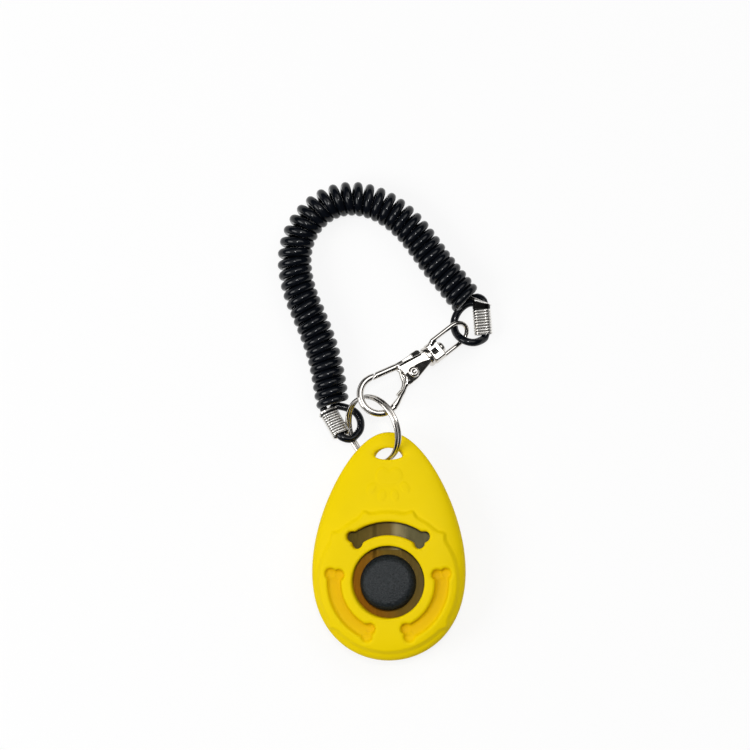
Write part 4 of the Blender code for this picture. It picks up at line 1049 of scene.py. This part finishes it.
def bump(tree, source, strength, distance, shader):
    node = tree.nodes.new("ShaderNodeBump")
    node.inputs["Strength"].default_value = strength
    node.inputs["Distance"].default_value = distance
    tree.links.new(source, node.inputs["Height"])
    tree.links.new(node.outputs["Normal"], shader.inputs["Normal"])


def marked(tree, name, stops):
    """Colours along a number that is stored on the mesh."""
    source = tree.nodes.new("ShaderNodeAttribute")
    source.attribute_name = name
    return ramp(tree, source.outputs["Fac"], stops)


def shade_by(tree, shader, colours):
    """Multiply the base colour by other colours."""
    mix = tree.nodes.new("ShaderNodeMix")
    mix.data_type = "RGBA"
    mix.blend_type = "MULTIPLY"
    mix.inputs["Factor"].default_value = 1.0
    base = shader.inputs["Base Color"].links[0].from_socket
    tree.links.new(base, mix.inputs["A"])
    tree.links.new(colours, mix.inputs["B"])
    tree.links.new(mix.outputs["Result"], shader.inputs["Base Color"])


def yellow_plastic():
    """Yellow with painted shade that turns it orange where it lies deep in an opening."""
    material, tree, shader = base_material("yellow_abs", (0.85, 0.64, 0.001), 0.5, 0.0, 0.05)
    tint(tree, noise(tree, 90.0, 2.0), (0.845, 0.62, 0.001), (0.875, 0.645, 0.001), shader)
    shade_by(tree, shader, marked(tree, "sunk", SUNK_SHADE))
    vary_roughness(tree, noise(tree, 700.0), 0.44, 0.56, shader)
    bump(tree, noise(tree, 5200.0, 2.0), 0.15, 0.00003, shader)
    return material


def black_plastic():
    material, tree, shader = base_material("black_textured", (0.014, 0.018, 0.020), 0.45, 0.0, 0.25)
    grain = noise(tree, 2600.0, 5.0)
    tint(tree, grain, (0.0, 0.001, 0.002), (0.022, 0.028, 0.031), shader)
    vary_roughness(tree, noise(tree, 1500.0), 0.30, 0.5, shader)
    bump(tree, grain, 0.9, 0.0002, shader)
    return material


def cord_plastic():
    material, tree, shader = base_material("black_cord", (0.003, 0.004, 0.007), 0.2, 0.0, 0.28)
    tint(tree, noise(tree, 200.0), (0.002, 0.003, 0.005), (0.004, 0.005, 0.008), shader)
    vary_roughness(tree, noise(tree, 900.0), 0.12, 0.2, shader)
    bump(tree, noise(tree, 2500.0), 0.06, 0.00003, shader)
    return material


def plated(name, colour, roughness):
    material, tree, shader = base_material(name, colour, sum(roughness) / 2.0, 1.0)
    dim = tuple(0.92 * c for c in colour)
    tint(tree, noise(tree, 260.0), dim, colour, shader)
    # Painted shade where a piece marks its grooves and pockets
    shade_by(tree, shader, marked(tree, "groove", GROOVE_SHADE))
    vary_roughness(tree, noise(tree, 1100.0), *roughness, shader)
    bump(tree, noise(tree, 1600.0), 0.05, 0.00004, shader)
    return material


def sleeve_metal():
    """Bright wound wire, with painted shade in the grooves between its turns."""
    material, tree, shader = base_material("tinned_wire", (0.9, 0.88, 0.84), 0.28, 1.0)
    tint(tree, noise(tree, 400.0), (0.84, 0.82, 0.78), (0.92, 0.90, 0.87), shader)
    shade_by(tree, shader, marked(tree, "groove", GROOVE_SHADE))
    vary_roughness(tree, noise(tree, 1100.0), 0.22, 0.34, shader)
    return material


def rolled_steel():
    """Steel strip: rolling lines, and a painted straw-brown shade that is deepest along one side."""
    material, tree, shader = base_material("rolled_steel", (0.13, 0.10, 0.05), 0.42, 1.0)
    lines = noise(tree, 900.0, 3.0, (6.0, 0.4, 1.0))
    tint(tree, lines, (0.90, 0.90, 0.90), (1.0, 1.0, 1.0), shader)
    shade_by(tree, shader, marked(tree, "straw_shade", STRAW_SHADE_COLOURS))
    vary_roughness(tree, lines, 0.38, 0.5, shader)
    bump(tree, lines, 0.1, 0.00003, shader)
    return material


def area_light(name, place, size, power):
    light = bpy.data.lights.new(name, "AREA")
    light.shape = "DISK"
    light.size = size
    light.energy = power
    lamp = put(name, light)
    lamp.location = place
    lamp.rotation_euler = (Vector(LAMP_AIM) - Vector(place)).to_track_quat("-Z", "Y").to_euler()


def join(tree, operation, first, second):
    """A math node on two values; each is a socket or a number."""
    node = tree.nodes.new("ShaderNodeMath")
    node.operation = operation
    for socket, value in zip(node.inputs, (first, second)):
        if isinstance(value, (int, float)):
            socket.default_value = value
        else:
            tree.links.new(value, socket)
    return node.outputs["Value"]


def facing(tree, direction, far, near):
    """1 within near degrees of a direction in the sky, falling to 0 at far degrees."""
    place = tree.nodes.new("ShaderNodeTexCoord")
    lean = tree.nodes.new("ShaderNodeVectorMath")
    lean.operation = "DOT_PRODUCT"
    lean.inputs[1].default_value = direction
    tree.links.new(place.outputs["Generated"], lean.inputs[0])
    ranged = tree.nodes.new("ShaderNodeMapRange")
    ranged.interpolation_type = "SMOOTHSTEP"
    ranged.inputs["From Min"].default_value = cos(radians(far))
    ranged.inputs["From Max"].default_value = cos(radians(near))
    tree.links.new(lean.outputs["Value"], ranged.inputs["Value"])
    return ranged.outputs["Result"]


def sky(azimuth, from_zenith):
    """A direction in the sky, from two angles in degrees."""
    a, b = radians(azimuth), radians(from_zenith)
    return Vector((cos(a) * sin(b), sin(a) * sin(b), cos(b)))


def make_floor():
    """White floor that is seen as brighter than the light on it makes it."""
    mesh = bpy.data.meshes.new("floor")
    corners = [(FLOOR_HALF * x, FLOOR_HALF * y, 0.0) for x, y in ((-1, -1), (1, -1), (1, 1), (-1, 1))]
    mesh.from_pydata(corners, [], [(0, 1, 2, 3)])
    floor = put("floor", mesh)
    material, tree, shader = base_material("floor_white", (0.93, 0.93, 0.93), 0.9, 0.0, 0.0)
    path = tree.nodes.new("ShaderNodeLightPath")
    seen = join(tree, "MAXIMUM", path.outputs["Is Camera Ray"], path.outputs["Is Glossy Ray"])
    seen = join(tree, "MAXIMUM", seen, path.outputs["Is Transmission Ray"])
    white = tree.nodes.new("ShaderNodeEmission")
    blend = tree.nodes.new("ShaderNodeMixShader")
    tree.links.new(join(tree, "MULTIPLY", seen, FLOOR_GLOW), blend.inputs["Fac"])
    tree.links.new(shader.outputs["BSDF"], blend.inputs[1])
    tree.links.new(white.outputs["Emission"], blend.inputs[2])
    tree.links.new(blend.outputs["Shader"], tree.nodes["Material Output"].inputs["Surface"])
    mesh.materials.append(material)


def make_world():
    """A studio with a pale ceiling that has a dark patch, a dark horizon and a soft box."""
    world = bpy.data.worlds.new("studio")
    bpy.context.scene.world = world
    world.use_nodes = True
    tree = world.node_tree
    ceiling = join(tree, "MULTIPLY", facing(tree, Vector((0.0, 0.0, 1.0)), *CEILING_EDGE), CEILING)
    shade = join(tree, "SUBTRACT", 1.0, facing(tree, sky(*DARK_PATCH), *DARK_PATCH_EDGE))
    light = join(tree, "MULTIPLY", ceiling, shade)
    light = join(tree, "ADD", light, HORIZON)
    box = facing(tree, sky(*SOFT_BOX), *SOFT_BOX_EDGE)
    light = join(tree, "ADD", light, join(tree, "MULTIPLY", box, SOFT_BOX_LEVEL))
    background = tree.nodes["Background"]
    tree.links.new(light, background.inputs["Strength"])
    background.inputs["Color"].default_value = (1.0, 1.0, 1.0, 1.0)


def make_camera():
    lens = bpy.data.cameras.new("camera")
    lens.sensor_width = SENSOR_WIDTH
    lens.sensor_fit = "HORIZONTAL"
    lens.lens = SENSOR_WIDTH * CAMERA_DISTANCE / FRAME_WIDTH
    lens.clip_start = 0.05
    camera = put("camera", lens)
    aim = Vector((*FRAME_CENTRE, FOCUS_Z))
    right, ahead = CAMERA_LEAN
    camera.location = aim + Vector((right, ahead, CAMERA_DISTANCE))
    camera.rotation_euler = (-ahead / CAMERA_DISTANCE, right / CAMERA_DISTANCE, 0.0)
    bpy.context.scene.camera = camera


def set_stage():
    bpy.context.scene.view_settings.view_transform = "Standard"
    make_floor()
    make_world()
    for lamp in LAMPS:
        area_light(*lamp)
    make_camera()


def make_case(material):
    points, faces = isosurface(front_cover, *FRONT_GRID)
    front = add_piece("case_front", points, faces, material, "case", ("front_cover",))
    x, y, z = points.T
    # Painted shade: how deep each point lies below the front's top
    mark(front, "sunk", np.clip((front_top(x, y) - z) / SUNK_DEPTH, 0.0, 1.0))
    points, faces = isosurface(rear_cover, *BACK_GRID)
    add_piece("case_back", points, faces, material, "case", ("rear_cover",))


def make_reed(material):
    points, faces = isosurface(reed_blade, *REED_GRID)
    reed = add_piece("reed_blade", points, faces, material, "reed", ("click_reed",))
    x, y, _ = points.T
    # Painted shade: each point's place in the straw-brown shade colours, by its side and by lying round the
    # button or under the window
    across = np.clip((x + STRAW_SHADE_LEAN * np.minimum(y, 0.0)) / REED_RADIUS, -1.0, 1.0)
    mark(reed, "straw_shade", np.where(y > STRAW_SHADE_SPLIT_Y, *STRAW_SHADE_MIDDLES) + STRAW_SHADE_HALF * across)


def make_hook(material):
    """The hook, its gate and its swivel eye, with lines and a pocket darkened by painted shade, and the two
    pins.
    """
    hook = hook_frame()
    points, faces = isosurface(hook_casting, *HOOK_GRID)
    solid = placed(points, hook)
    casting = add_piece("hook_casting", solid, faces, material, "hook", ("hook_body",))
    x, y, z = points.T
    # Painted shade along the deep part of the lever line
    line = polyline(x, y, LEVER_LINE) < LEVER_LINE_WIDTH
    mark(casting, "groove", line & (np.abs(z) > LEVER_LINE_DARK))
    points, faces = isosurface(gate_casting, *GATE_GRID)
    add_piece("gate_casting", placed(points, hook), faces, material, "gate", ("hook_gate",))
    points, faces = isosurface(eye_casting, *EYE_GRID)
    solid = placed(points, hook @ Matrix.Rotation(radians(EYE_ROLL), 4, "X"))
    casting = add_piece("eye_casting", solid, faces, material, "eye", ("swivel_eye",))
    x, y, z = points.T
    aside, above = eye_rolled(y, z)
    # Painted shade in the eye's pocket
    mark(casting, "groove", (eye_pocket(x, aside) < 0.0) & (above > 0.0) & (above < EYE_POCKET_RIM))
    pin = [(r, -z) for r, z in GATE_PIN_HALF] + GATE_PIN_HALF[::-1]
    make_rivet("gate_pin", "gate_rivet", pin, hook @ Matrix.Translation((*PIVOT, 0.0)), material)
    make_rivet("swivel_pin", "swivel_rivet", SWIVEL_PIN, hook @ Matrix.Rotation(pi / 2.0, 4, "Y"), material)


def make_cord(material, metal):
    sleeves = (
        ("sleeve_ring_end", "ferrule_ring_end", RING_FERRULE_ENDS, RING_LOOP_ROUTE, RING_SLEEVE_TURN),
        ("sleeve_hook_end", "ferrule_hook_end", HOOK_FERRULE_ENDS, HOOK_LOOP_ROUTE, HOOK_SLEEVE_TURN),
    )
    ferrules = [make_ferrule(*sleeve, metal) for sleeve in sleeves]
    line = cord_line()
    points, faces = tube(line, cord_radii(line), CORD_SIDES)
    cord = add_piece("cord_line", points, faces, material, "hook",
                     ("cord_coil", "cord_loop_ring_end", "cord_loop_hook_end"))


def main():
    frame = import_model()
    set_stage()

    make_case(yellow_plastic())
    make_button(black_plastic())
    make_reed(rolled_steel())
    nickel = plated("nickel_plate", (0.70, 0.67, 0.63), (0.10, 0.20))
    make_hook(nickel)
    make_leaf(plated("bright_spring", (0.66, 0.64, 0.60), (0.12, 0.22)))
    make_ring(nickel)
    make_cord(cord_plastic(), sleeve_metal())

    steel = plated("zinc_steel", (0.62, 0.62, 0.60), (0.25, 0.4))
    for number in (1, 2, 3):
        frame["nodes"]["case_screw_%d" % number].data.materials[0] = steel

    bpy.context.view_layer.update()


main()
